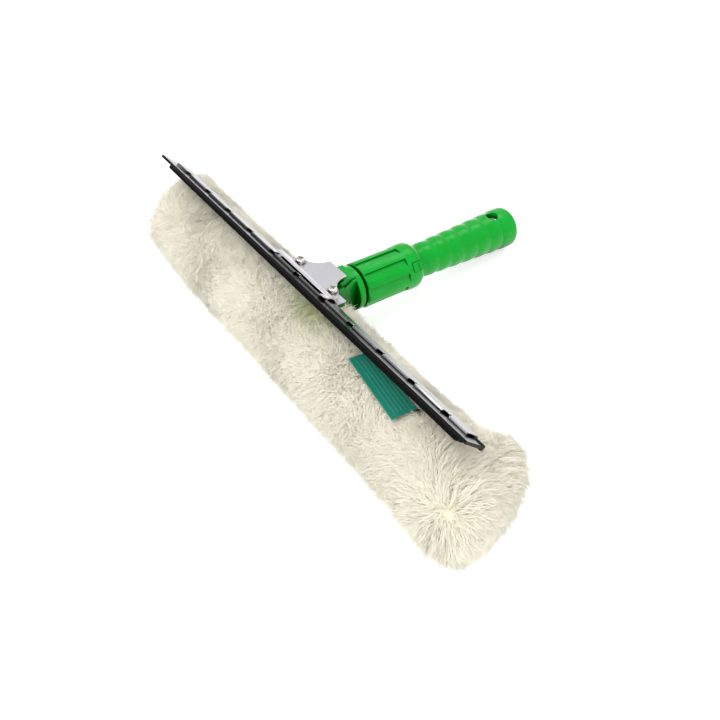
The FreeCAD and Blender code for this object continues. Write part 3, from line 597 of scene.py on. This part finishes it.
# Sheet steel, with dark grey painted shade in its corners, such as where the plate meets its arch
STEEL = brushed_metal(
    "stainless sheet", linear(201, 200, 204), linear(192, 191, 196), (0.26, 0.34),
    lines=5000.0, length_share=0.012, depth=0.001 * MM, painted_shade=(3 * MM, linear(40, 40, 42)))
# Channel steel, with near-black painted shade in its corners, such as the lip's front beside the rubber
CHANNEL_STEEL = brushed_metal(
    "channel steel", linear(178, 176, 178), linear(150, 148, 151), (0.2, 0.3),
    lines=5000.0, length_share=0.006, depth=0.001 * MM, painted_shade=(3 * MM, linear(14, 14, 15)),
    Specular_Tint=linear(226, 224, 225))
SCREW_STEEL = brushed_metal(
    "screw steel", linear(214, 210, 204), linear(196, 192, 188), (0.16, 0.28),
    lines=3000.0, length_share=1.0, depth=0.003 * MM)
ALUMINIUM = brushed_metal(
    "extruded aluminium", linear(200, 201, 204), linear(186, 187, 191), (0.3, 0.45),
    lines=3500.0, length_share=0.01, depth=0.01 * MM)
FLEECE_SKIN = fleece_material(
    "fleece backing", linear(243, 234, 207), linear(248, 240, 216), linear(243, 234, 208), 0.6 * MM)
FLEECE_PILE = fleece_material(
    "fleece pile", linear(250, 242, 216), linear(255, 251, 234), linear(254, 248, 227), 0)
LABEL = label_material()
STITCH_THREAD = moulded_plastic(
    "stitch thread", linear(0, 96, 72), linear(0, 84, 62), linear(40, 140, 110), (0.6, 0.7),
    Specular_IOR_Level=0.25)
DARK_THREAD = moulded_plastic(
    "dark thread", linear(8, 26, 20), linear(14, 34, 26), linear(20, 44, 34), (0.6, 0.7),
    Specular_IOR_Level=0.2)
CLOSURE_TAPE = closure_material()

FINISHES = {
    "t_bar": ALUMINIUM, "t_bar_cap_left": BLACK_PLASTIC, "t_bar_cap_right": BLACK_PLASTIC,
    "t_bar_screws": SCREW_STEEL, "head_yoke": GREEN, "friction_washer": WASHER_PLASTIC,
    "locking_collar": GREEN, "latch_tab": GREEN, "latch_spring": STEEL, "grip": GREEN,
    "bracket_plate": STEEL, "clamp_jaw": STEEL, "clamp_screw_left": SCREW_STEEL,
    "clamp_screw_right": SCREW_STEEL, "spring_washer_left": SCREW_STEEL, "spring_washer_right": SCREW_STEEL,
    "clamp_nuts": SCREW_STEEL, "squeegee_channel": CHANNEL_STEEL, "squeegee_rubber": RUBBER,
    "backing_strip": BLACK_PLASTIC, "channel_clips": BLACK_PLASTIC,
}


def finish_cad_nodes():
    for name, material in FINISHES.items():
        mesh = nodes[name].data
        mesh.materials.clear()
        mesh.materials.append(material)
    for name, width in EDGE_ROUNDING.items():
        weld = nodes[name].modifiers.new("joined corners", "WELD")
        weld.merge_threshold = WELD_DISTANCE
        rounding = nodes[name].modifiers.new("rounded edges", "BEVEL")
        rounding.width = width
        rounding.segments = 2
        rounding.limit_method = "ANGLE"
        rounding.angle_limit = ROUNDED_FROM
        rounding.harden_normals = True


# ---- mesh helpers


def add_object(name, data):
    thing = bpy.data.objects.new(name, data)
    bpy.context.scene.collection.objects.link(thing)
    return thing


def make_mesh(name, points, faces, material, smoothed=True):
    mesh = bpy.data.meshes.new(name)
    mesh.from_pydata([tuple(point) for point in points], [], [tuple(face) for face in faces])
    mesh.materials.append(material)
    mesh.validate()
    mesh.polygons.foreach_set("use_smooth", [smoothed] * len(mesh.polygons))
    mesh.update()
    return add_object(name, mesh)


def write_field(mesh, label, values):
    """One value for each of a mesh's points, which its material reads."""
    field = mesh.attributes.new(label, "FLOAT", "POINT")
    field.data.foreach_set("value", np.asarray(values, np.float32))


def grid_faces(rows, columns, closed):
    faces = []
    around = columns if closed else columns - 1
    for row in range(rows - 1):
        for column in range(around):
            beside = (column + 1) % columns
            faces.append((row * columns + column, row * columns + beside,
                          (row + 1) * columns + beside, (row + 1) * columns + column))
    return faces


def thicken(piece, thickness):
    """Gives a sheet its thickness, half to each side."""
    solid = piece.modifiers.new("thickness", "SOLIDIFY")
    solid.thickness = thickness
    solid.offset = 0


def add_thread(points, faces, line, radius):
    """Adds a closed round thread that tapers at both ends and follows a short line."""
    run = unit(line[-1] - line[0])
    side = unit(np.cross(run, (0.0, 0.0, 1.0)))
    up = np.cross(side, run)
    first = len(points)
    points.append(line[0])
    for centre in line[1:-1]:
        for corner in range(THREAD_SIDES):
            angle = 2 * math.pi * corner / THREAD_SIDES
            points.append(centre + (side * math.cos(angle) + up * math.sin(angle)) * radius)
    points.append(line[-1])
    last = len(points) - 1
    last_ring = first + 1 + (len(line) - 3) * THREAD_SIDES
    for corner in range(THREAD_SIDES):
        beside = (corner + 1) % THREAD_SIDES
        faces.append((first, first + 1 + beside, first + 1 + corner))
        for near in range(first + 1, last_ring, THREAD_SIDES):
            far = near + THREAD_SIDES
            faces.append((near + corner, near + beside, far + beside, far + corner))
        faces.append((last_ring + corner, last_ring + beside, last))


# ---- fleece sleeve


def along_sleeve(x, values):
    """One of the sleeve's tables read at x, passing smoothly from place to place."""
    step = np.clip(np.searchsorted(SLEEVE_PLACES, x, side="right") - 1, 0, len(SLEEVE_PLACES) - 2)
    start, end = SLEEVE_PLACES[step], SLEEVE_PLACES[step + 1]
    share = smooth(np.clip((x - start) / (end - start), 0, 1))
    values = np.asarray(values)
    return values[step] * (1 - share) + values[step + 1] * share


def sleeve_rounding(x, inset):
    """Share of the full section that is left at x, less towards each end."""
    left = 1 - np.clip((x - SLEEVE_LEFT - inset) / (LEFT_CAP - inset), 0, 1)
    right = 1 - np.clip((SLEEVE_RIGHT - inset - x) / (RIGHT_CAP - inset), 0, 1)
    return np.sqrt(np.maximum(1 - np.maximum(left, right) ** 2, 0))


def sleeve_surface(x, turn, inset):
    """Points on the sleeve at x and a turn about the bar, an even inset under its outside."""
    share = sleeve_rounding(x, inset)
    half_width = (SLEEVE_HALF_WIDTH * along_sleeve(x, WIDTH_SHARES) - inset) * share
    half_height = (SLEEVE_HALF_HEIGHT * along_sleeve(x, HEIGHT_SHARES) - inset) * share
    off_crease = (turn - CREASE_TURN + math.pi) % (2 * math.pi) - math.pi
    fold = 1 - along_sleeve(x, CREASES) * np.exp(-(off_crease / CREASE_SPREAD) ** 2)
    narrowed = 1 - (1 - fold) * CREASE_NARROWING
    y = along_sleeve(x, SHIFTS_BACK) + half_width * np.cos(turn) * narrowed
    z = SLEEVE_Z + half_height * np.sin(turn) * fold
    return np.stack([x - along_sleeve(x, SLANTS) * y, y, z], -1)


def distance_to_path(points, path):
    """How far each point is from a path of straight runs."""
    nearest = np.full(len(points), np.inf)
    for start, end in zip(path[:-1], path[1:]):
        run = end - start
        share = np.clip((points - start) @ run / (run @ run), 0, 1)
        nearest = np.minimum(nearest, np.linalg.norm(points - start - share[:, None] * run, axis=1))
    return nearest


def sleeve_points(x, turn, inset):
    """Points on the sleeve and the directions square out of it."""
    points = sleeve_surface(x, turn, inset)
    low = SLEEVE_LEFT + inset + END_MARGIN
    high = SLEEVE_RIGHT - inset - END_MARGIN
    along = (sleeve_surface(np.clip(x + NORMAL_STEP, low, high), turn, inset)
             - sleeve_surface(np.clip(x - NORMAL_STEP, low, high), turn, inset))
    around = sleeve_surface(x, turn + NORMAL_TURN, inset) - sleeve_surface(x, turn - NORMAL_TURN, inset)
    normals = unit(np.cross(around, along))
    off_furrow = distance_to_path(points + normals * inset, FURROW)
    depth = FURROW_DEPTH * np.exp(-(off_furrow / FURROW_HALF_WIDTH) ** 2)
    return points - normals * depth[:, None], normals


def wave(points, pitch, seed):
    """A smooth field, about -1 to 1, that changes over about a pitch."""
    draw = np.random.default_rng(seed)
    total = np.zeros(points.shape[:-1])
    for _ in range(WAVES_IN_FIELD):
        direction = unit(draw.normal(size=3))
        total = total + np.sin(points @ direction * (2 * math.pi / pitch) * draw.uniform(0.6, 1.5)
                               + draw.uniform(0, 2 * math.pi))
    return total / WAVE_TOTAL


def in_a_room(points):
    inside = np.zeros(len(points), bool)
    for low, high in PILE_ROOMS:
        low, high = np.array(low) * MM, np.array(high) * MM
        inside |= np.all((points > low) & (points < high), axis=1)
    return inside


def painted_green_bounce(points):
    """How much painted green bounce light from the head the pile gets."""
    total = 0.0
    for middle, reach, fall, share in GREEN_BOUNCE_PATCHES:
        off = (points - np.array(middle) * MM) / (np.array(reach) * MM)
        total = total + np.exp(-(off ** 2).sum(-1)) ** fall * share
    return np.clip(total, 0, 1)


def make_backing():
    """The sleeve's backing under the pile, lumpy with its locks, closed at both ends."""
    share = np.linspace(0, 1, BACKING_ROWS)
    reach = share - BACKING_CROWDING * np.sin(2 * math.pi * share)
    low = SLEEVE_LEFT + PILE_HEIGHT + BACKING_END_MARGIN
    high = SLEEVE_RIGHT - PILE_HEIGHT - BACKING_END_MARGIN
    turn = np.linspace(0, 2 * math.pi, BACKING_COLUMNS, endpoint=False)
    grid_x, grid_turn = np.meshgrid(low + (high - low) * reach, turn, indexing="ij")
    points, normals = sleeve_points(grid_x.ravel(), grid_turn.ravel(), PILE_HEIGHT)
    points = points + normals * (wave(points, *BACKING_FIELD) * BACKING_LUMPS)[:, None]
    row_points = to_row(points)
    row_points[:, 2] = np.maximum(row_points[:, 2], BACKING_CLEARANCE)
    faces = grid_faces(BACKING_ROWS, BACKING_COLUMNS, True)
    faces.append(tuple(range(BACKING_COLUMNS)))
    last = (BACKING_ROWS - 1) * BACKING_COLUMNS
    faces.append(tuple(last + column for column in reversed(range(BACKING_COLUMNS))))
    piece = make_mesh("fleece_backing", row_points, faces, FLEECE_SKIN)
    write_field(piece.data, "along_strand", np.full(len(points), BACKING_ALONG_STRAND))
    write_field(piece.data, "strand_tone", np.full(len(points), BACKING_TONE))
    write_field(piece.data, "painted_green_bounce", painted_green_bounce(points))
    return piece


def lock_roots():
    """Places on the sleeve where a lock of pile starts: x, turn about the bar."""
    fine = np.linspace(0, 1, LOCK_PATH_STEPS)
    x = SLEEVE_LEFT + PILE_HEIGHT + (SLEEVE_RIGHT - SLEEVE_LEFT - 2 * PILE_HEIGHT) * fine
    half_width = SLEEVE_HALF_WIDTH * along_sleeve(x, WIDTH_SHARES)
    radius = sleeve_rounding(x, PILE_HEIGHT) * (half_width + SLEEVE_HALF_HEIGHT - 2 * PILE_HEIGHT) / 2
    travel = np.concatenate([[0], np.cumsum(np.hypot(np.diff(x), np.diff(radius)))])
    places = []
    rows = int(travel[-1] / LOCK_PITCH)
    for row in range(rows):
        along = (row + 0.5) / rows * travel[-1]
        around = 2 * math.pi * np.interp(along, travel, radius)
        count = max(3, int(around / LOCK_PITCH))
        turns = (np.arange(count) + rng.uniform(0, 1)) / count * 2 * math.pi
        turns = turns + rng.normal(0, LOCK_SCATTER_AROUND, count) * 2 * math.pi / count
        xs = np.interp(along + rng.normal(0, LOCK_SCATTER_ALONG, count) * LOCK_PITCH, travel, x)
        places.append(np.stack([xs, turns], -1))
    return np.concatenate(places)


def lay_of_pile(points, normals, along, around):
    """Which way the pile lies at each root: in slow swirls, downhill, out over both ends
    and away from the rosette at the right end."""
    swirl = along * wave(points, *SWIRL_ALONG_FIELD)[:, None]
    swirl = swirl + around * wave(points, *SWIRL_AROUND_FIELD)[:, None]
    down = np.array([0.0, -math.sin(REST_ANGLE), -math.cos(REST_ANGLE)])
    away = points - ROSETTE
    distance = np.linalg.norm(away, axis=1, keepdims=True)
    fan = away / np.maximum(distance, 1 * MM) * np.exp(-(distance / ROSETTE_REACH) ** 2) * ROSETTE_FAN
    fan = fan * (1 - np.exp(-(distance / ROSETTE_HEART) ** 2))
    lay = swirl * SWIRL + down * DOWNHILL + fan + rng.normal(0, LAY_SCATTER, points.shape)
    ends = [SLEEVE_LEFT, SLEEVE_LEFT + END_LEAN_REACH, SLEEVE_RIGHT - END_LEAN_REACH, SLEEVE_RIGHT]
    lay[:, 0] += np.interp(points[:, 0], ends, [LEFT_END_LEAN, 0, 0, RIGHT_END_LEAN])
    return unit(lay - normals * np.sum(lay * normals, 1, keepdims=True))


def label_place(points):
    """Where points lie over the label, as shares of its width and depth from its front
    left corner."""
    x, y = points[:, 0] - LABEL_FRONT[0], points[:, 1] - LABEL_FRONT[1]
    across = x * math.cos(LABEL_TURN) + y * math.sin(LABEL_TURN)
    back = -x * math.sin(LABEL_TURN) + y * math.cos(LABEL_TURN)
    return across / LABEL_WIDTH, back / LABEL_DEPTH


def edge_distance(across, back):
    """How far inside the label's nearest edge a place on it is."""
    to_side = np.minimum(across, 1 - across) * LABEL_WIDTH
    to_front_or_back = np.minimum(back, 1 - back) * LABEL_DEPTH
    return np.minimum(to_side, to_front_or_back)


def label_surface(across, back):
    """A place on the label, lying on the pile, curling at two corners and sewn down at
    its back."""
    x, y = across * LABEL_WIDTH, back * LABEL_DEPTH
    turned_x = LABEL_FRONT[0] + x * math.cos(LABEL_TURN) - y * math.sin(LABEL_TURN)
    turned_y = LABEL_FRONT[1] + x * math.sin(LABEL_TURN) + y * math.cos(LABEL_TURN)
    ring = np.clip(turned_y / (SLEEVE_HALF_WIDTH + LABEL_LIFT), -LABEL_SIDE_LIMIT, LABEL_SIDE_LIMIT)
    z = SLEEVE_Z + (SLEEVE_HALF_HEIGHT + LABEL_LIFT) * np.sqrt(1 - ring ** 2)
    rise, fade = RIGHT_FRONT_CURL
    curl = rise * np.exp(-((across - 1.0) ** 2 + back ** 2) * fade)
    rise, fade = LEFT_BACK_CURL
    curl = curl + rise * np.exp(-(across ** 2 + (back - 1.0) ** 2) * fade)
    ripple = LABEL_RIPPLE * np.sin(across * RIPPLES_ACROSS + back * RIPPLES_BACK)
    sewn = smooth(np.clip((back - LABEL_FREE_SHARE) / LABEL_SEWN_BLEND, 0, 1))
    return np.stack([turned_x, turned_y, z + (curl + ripple) * (1 - sewn) - LABEL_SEWN_DEPTH * sewn], -1)


def press_under_label(points):
    """Lowers, in place, the points of the pile that lie over the label's free part."""
    across, back = label_place(points)
    free = back < LABEL_FREE_SHARE + PRESSED_BACK_MARGIN
    covered = (edge_distance(across, back) > 0) & free & (points[:, 2] > SLEEVE_Z)
    top = label_surface(across, back)[:, 2] - LABEL_THICKNESS
    points[:, 2] = np.where(covered, np.minimum(points[:, 2], top), points[:, 2])


def make_strands():
    """Root, middle and tip of every strand in the tool's axes, its facing, tone and thickness."""
    places = lock_roots()
    roots, normals = sleeve_points(places[:, 0], places[:, 1], PILE_HEIGHT)
    keep = ~in_a_room(roots + normals * ROOM_MARGIN)
    roots, normals = roots[keep], normals[keep]
    count, many = len(roots), STRANDS_PER_LOCK
    along = np.zeros_like(normals)
    along[:, 0] = 1.0
    along = unit(along - normals * np.sum(along * normals, 1, keepdims=True))
    around = np.cross(normals, along)
    lay = lay_of_pile(roots, normals, along, around)

    length = np.interp(roots[:, 0], RIGHT_END_STRETCH, STRAND_LENGTHS)
    length = length * (1 + LENGTH_SWING * wave(roots, *LENGTH_FIELD) + rng.normal(0, LENGTH_SCATTER, count))
    tuft = np.exp(-np.sum(((roots - TUFT) / TUFT_SPREAD) ** 2, 1))
    length = length * (1 + TUFT_GROWTH * tuft)
    across, back = label_place(roots)
    near_label = (edge_distance(across, back) > -PRESSED_MARGIN) & (back < LABEL_FREE_SHARE)
    length = np.where(near_label & (roots[:, 2] > SLEEVE_Z), length * PRESSED_LENGTH, length)

    loose = (rng.uniform(0, 1, count) < LOOSE_SHARE) | (tuft > TUFT_HEART)
    leans = []
    for (degrees, swing), field in ((FIRST_LEAN, FIRST_LEAN_FIELD), (LAST_LEAN, LAST_LEAN_FIELD)):
        lean = np.radians(degrees + rng.normal(0, swing, count) + swing * wave(roots, *field))
        leans.append(np.where(loose, lean * LOOSE_LEAN, lean)[:, None])
    first, last = leans
    curl = wave(roots, *CURL_FIELD) * CURL_SWING + rng.normal(0, CURL_SCATTER, count)
    rise = normals * np.cos(first) + lay * np.sin(first)
    bend = unit(normals * np.cos(last) + (lay + np.cross(normals, lay) * curl[:, None]) * np.sin(last))

    spread = np.interp(roots[:, 0], RIGHT_END_STRETCH, LOCK_SPREADS)[:, None, None]
    spread = rng.normal(0, 1, (count, many, 2)) * spread
    offset = along[:, None] * spread[..., :1] + around[:, None] * spread[..., 1:]
    half = length[:, None, None] * rng.uniform(*LENGTH_IN_LOCK, (count, many, 1)) * 0.5
    root = roots[:, None] + offset - normals[:, None] * ROOT_DEPTH
    middle = root + rise[:, None] * half - offset * MIDDLE_DRAWN_IN
    middle = middle + rng.normal(0, MIDDLE_SCATTER, (count, many, 3))
    tip = middle + bend[:, None] * half - offset * TIP_DRAWN_IN
    tip = tip + rng.normal(0, TIP_SCATTER, (count, many, 3))
    facing = np.repeat(normals[:, None], many, 1)
    tones = rng.uniform(0, 1, count)[:, None] * 0.5 + rng.uniform(0, 0.5, (count, many))
    thickness = rng.uniform(*RADIUS_IN_LOCK, (count, many)) * STRAND_RADIUS

    root, middle, tip, facing = (part.reshape(-1, 3) for part in (root, middle, tip, facing))
    press_under_label(middle)
    press_under_label(tip)
    clear = ~(in_a_room(tip) | in_a_room(middle))
    return [part[clear] for part in (root, middle, tip, facing, tones.ravel(), thickness.ravel())]


def strand_map(count):
    """Where the corners of each strand's faces lie in the map, a cell for each strand."""
    spots = [(MAP_MIDDLE + radius * math.cos(turn), MAP_MIDDLE + radius * math.sin(turn))
             for radius in MAP_RINGS for turn in MAP_TURNS]
    spots.append((MAP_MIDDLE, MAP_MIDDLE))
    in_cell = np.array([spots[corner] for face in STRAND_FACES[:-1] for corner in face] + MAP_ROOT_FACE)
    cells = math.ceil(math.sqrt(count))
    cell_x, cell_y = np.arange(count) % cells, np.arange(count) // cells
    return np.stack([(cell_x[:, None] + in_cell[None, :, 0]) / cells,
                     (cell_y[:, None] + in_cell[None, :, 1]) / cells], -1)


def strand_piece(name, root, middle, tip, facing, tones, thickness):
    """One piece of pile: each strand is a closed three-sided spike with a bend in it."""
    count = len(root)
    green_bounce = painted_green_bounce(root)
    root, middle, tip = to_row(root), to_row(middle), to_row(tip)
    facing = unit(to_row(facing) - REST_SHIFT)
    for row_points in (root, middle, tip):
        row_points[:, 2] = np.maximum(row_points[:, 2], FLOOR_CLEARANCE + thickness)
    direction = unit(tip - root)
    side = unit(np.cross(direction, rng.normal(size=(count, 3))))
    other = np.cross(direction, side)
    points = np.zeros((count, STRAND_CORNERS, 3))
    shading = np.zeros((count, STRAND_CORNERS, 3))
    for corner in range(3):
        angle = 2 * math.pi * corner / 3
        out = side * math.cos(angle) + other * math.sin(angle)
        points[:, corner] = root + out * thickness[:, None] * RADIUS_AT_ROOT
        points[:, 3 + corner] = middle + out * thickness[:, None]
        outward = unit(facing * FACING_SHARE + out * (1 - FACING_SHARE))
        shading[:, corner] = shading[:, 3 + corner] = outward
    points[:, -1] = tip
    shading[:, -1] = facing

    sizes = [len(face) for face in STRAND_FACES]
    strand = np.arange(count)[:, None]
    loops = np.concatenate(STRAND_FACES)[None, :] + strand * STRAND_CORNERS
    starts = np.concatenate([[0], np.cumsum(sizes)[:-1]])[None, :] + strand * sum(sizes)
    mesh = bpy.data.meshes.new(name)
    mesh.vertices.add(points.size // 3)
    mesh.vertices.foreach_set("co", points.ravel().astype(np.float32))
    mesh.loops.add(loops.size)
    mesh.loops.foreach_set("vertex_index", loops.ravel().astype(np.int32))
    mesh.polygons.add(starts.size)
    mesh.polygons.foreach_set("loop_start", starts.ravel().astype(np.int32))
    mesh.polygons.foreach_set("use_smooth", np.ones(starts.size, bool))
    mesh.materials.append(FLEECE_PILE)
    write_field(mesh, "along_strand", np.tile(ALONG_STRAND, count))
    write_field(mesh, "strand_tone", np.repeat(tones, STRAND_CORNERS))
    write_field(mesh, "painted_green_bounce", np.repeat(green_bounce, STRAND_CORNERS))
    layer = mesh.uv_layers.new(name="OFBake")
    layer.data.foreach_set("uv", strand_map(count).ravel().astype(np.float32))
    mesh.update(calc_edges=True)
    mesh.normals_split_custom_set_from_vertices(shading.reshape(-1, 3))
    return add_object(name, mesh)


def make_fleece():
    pieces = [make_backing()]
    strands = make_strands()
    order = np.argsort(strands[0][:, 0], kind="stable")
    for number, part in enumerate(np.array_split(order, PILE_PIECES)):
        pieces.append(strand_piece("fleece_pile_%d" % (number + 1), *(field[part] for field in strands)))
    for piece in pieces:
        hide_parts("fleece_sleeve")
        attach(piece, "washer")


# ---- label and closure


def make_label():
    """The label sewn on the sleeve, with a folded hem and a row of stitches inside it."""
    across, back = np.meshgrid(np.linspace(0, 1, LABEL_COLUMNS), np.linspace(0, 1, LABEL_ROWS),
                               indexing="xy")
    points = label_surface(across, back)
    to_edge = edge_distance(across, back)
    on_hem = np.clip((HEM_WIDTH - to_edge) / HEM_EDGE, 0, 1)
    pulled = np.exp(-((to_edge - STITCH_FROM_EDGE) / STITCH_PULL_WIDTH) ** 2)
    points[..., 2] += on_hem * HEM_RISE - pulled * STITCH_PULL
    faces = grid_faces(LABEL_ROWS, LABEL_COLUMNS, False)
    piece = make_mesh("label_cloth", to_row(points.reshape(-1, 3)), faces, LABEL)
    write_field(piece.data, "hem", on_hem.ravel())
    layer = piece.data.uv_layers.new(name="threads")
    spots = np.stack([across * LABEL_WIDTH, back * LABEL_DEPTH], -1).reshape(-1, 2)
    loops = np.zeros(len(piece.data.loops), np.int32)
    piece.data.loops.foreach_get("vertex_index", loops)
    layer.data.foreach_set("uv", spots[loops].ravel().astype(np.float32))
    thicken(piece, LABEL_THICKNESS)
    stitches = make_label_stitches()
    loose = make_loose_threads()
    for part in (piece, stitches, loose):
        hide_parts("sleeve_label")
        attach(part, "washer")


def make_label_stitches():
    """Short raised threads in a row round the label, a little inside its edge."""
    points, faces = [], []
    inset_across, inset_back = STITCH_FROM_EDGE / LABEL_WIDTH, STITCH_FROM_EDGE / LABEL_DEPTH
    corners = [(inset_across, inset_back), (1 - inset_across, inset_back),
               (1 - inset_across, 1 - inset_back), (inset_across, 1 - inset_back)]
    for start, end in zip(corners, corners[1:] + corners[:1]):
        start, end = np.array(start), np.array(end)
        length = np.linalg.norm((end - start) * (LABEL_WIDTH, LABEL_DEPTH))
        count = int(length / STITCH_PITCH)
        for number in range(count):
            shares = (number + STITCH_SHARES) / count
            spots = start + (end - start) * shares[:, None]
            line = label_surface(spots[:, 0], spots[:, 1])
            line[:, 2] += STITCH_LIFT + STITCH_ARCH - STITCH_PULL
            add_thread(points, faces, line, STITCH_RADIUS)
    return make_mesh("label_stitches", to_row(np.array(points)), faces, STITCH_THREAD)


def make_loose_threads():
    """Short dark threads fanning out from the label's right edge."""
    points, faces = [], []
    for back in LOOSE_THREAD_PLACES:
        start = label_surface(np.array([1.0]), np.array([back]))[0]
        reach = np.array([rng.uniform(*LOOSE_THREAD_REACH), rng.uniform(*LOOSE_THREAD_SIDE), 0.0]) * MM
        line = start + LOOSE_THREAD_SHARES[:, None] * reach
        line[:, 2] += np.array([*LOOSE_THREAD_ARCH, rng.uniform(*LOOSE_THREAD_END)]) * MM
        add_thread(points, faces, line, LOOSE_THREAD_RADIUS)
    return make_mesh("label_loose_threads", to_row(np.array(points)), faces, DARK_THREAD)


def make_closure_strip(node, name, bottom, facing_up):
    """One half of the sleeve's hook and loop closure: a tape with rows of small hooks or
    loops on its inner face."""
    tape_z = bottom + (0 if facing_up else CLOSURE_THICKNESS - TAPE_THICKNESS)
    x = CLOSURE_START + np.linspace(0, 1, TAPE_COLUMNS) * CLOSURE_LENGTH
    y = (np.linspace(0, 1, TAPE_ROWS) - 0.5) * CLOSURE_WIDTH
    grid_x, grid_y = np.meshgrid(x, y, indexing="xy")
    woven = TAPE_WEAVE * np.sin(grid_y * 2 * math.pi / TAPE_WEAVE_PITCH)
    points = np.stack([grid_x, grid_y, tape_z + TAPE_THICKNESS / 2 + woven], -1).reshape(-1, 3)
    faces = grid_faces(TAPE_ROWS, TAPE_COLUMNS, False)
    tape = make_mesh(name + "_tape", to_row(points), faces, CLOSURE_TAPE)
    thicken(tape, TAPE_THICKNESS - TAPE_SKIN)

    side = 1.0 if facing_up else -1.0
    root_z = tape_z + (TAPE_THICKNESS if facing_up else 0.0) - side * HOOK_GAP
    height = (CLOSURE_THICKNESS - TAPE_THICKNESS - HOOK_GAP) * side
    threads, faces = [], []
    end = CLOSURE_START + CLOSURE_LENGTH - HOOK_LAST
    half = CLOSURE_WIDTH / 2
    for hook_x in np.arange(CLOSURE_START + HOOK_FIRST, end, HOOK_PITCH):
        for hook_y in np.arange(HOOK_FIRST - half, half - HOOK_LAST, HOOK_PITCH):
            bend = rng.uniform(-HOOK_BEND, HOOK_BEND) * MM
            line = np.array([(hook_x + lean, hook_y + bend * bent, root_z + height * share)
                             for lean, bent, share in HOOK_POINTS])
            add_thread(threads, faces, line, HOOK_RADIUS)
    hooks = make_mesh(name + "_face", to_row(np.array(threads)), faces, CLOSURE_TAPE)
    for part in (tape, hooks):
        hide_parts(node)
        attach(part, "washer")


# ---- floor, light and camera


def make_floor():
    size = FLOOR_HALF_SIZE
    corners = [(-size, -size, 0), (size, -size, 0), (size, size, 0), (-size, size, 0)]
    floor = make_mesh("floor", corners, [(0, 1, 2, 3)], floor_material(), smoothed=False)


def area_lamp(name, at, towards, size, watts):
    lamp = bpy.data.lights.new(name, "AREA")
    lamp.shape = "DISK"
    lamp.size = size
    lamp.energy = watts
    holder = add_object(name, lamp)
    holder.location = at
    holder.rotation_euler = (Vector(towards) - Vector(at)).to_track_quat("-Z", "Y").to_euler()


def make_light_and_camera():
    scene = bpy.context.scene
    world = bpy.data.worlds.new("studio")
    scene.world = world
    world.use_nodes = True
    tree = world.node_tree
    background = tree.nodes["Background"]
    background.inputs["Color"].default_value = (1, 1, 1, 1)
    strength = ranged(tree, seen_directly(tree), WORLD_LIGHT, WORLD_SEEN)
    tree.links.new(strength, background.inputs["Strength"])
    for name, lamp in SOFTBOXES.items():
        area_lamp(name, *lamp)
    camera = bpy.data.cameras.new("camera")
    camera.lens = CAMERA_LENS
    camera.sensor_width = SENSOR_WIDTH
    camera.clip_start = CLIP_START
    holder = add_object("camera", camera)
    holder.location = CAMERA_AT
    holder.rotation_euler = Euler([math.radians(angle) for angle in CAMERA_TURN], "XYZ")
    scene.camera = holder
    scene.view_settings.view_transform = "Standard"


finish_cad_nodes()
make_fleece()
make_label()
make_closure_strip("closure_loop_strip", "closure_loops", LOOP_STRIP_BOTTOM, True)
make_closure_strip("closure_hook_strip", "closure_hooks", HOOK_STRIP_BOTTOM, False)
make_floor()
make_light_and_camera()
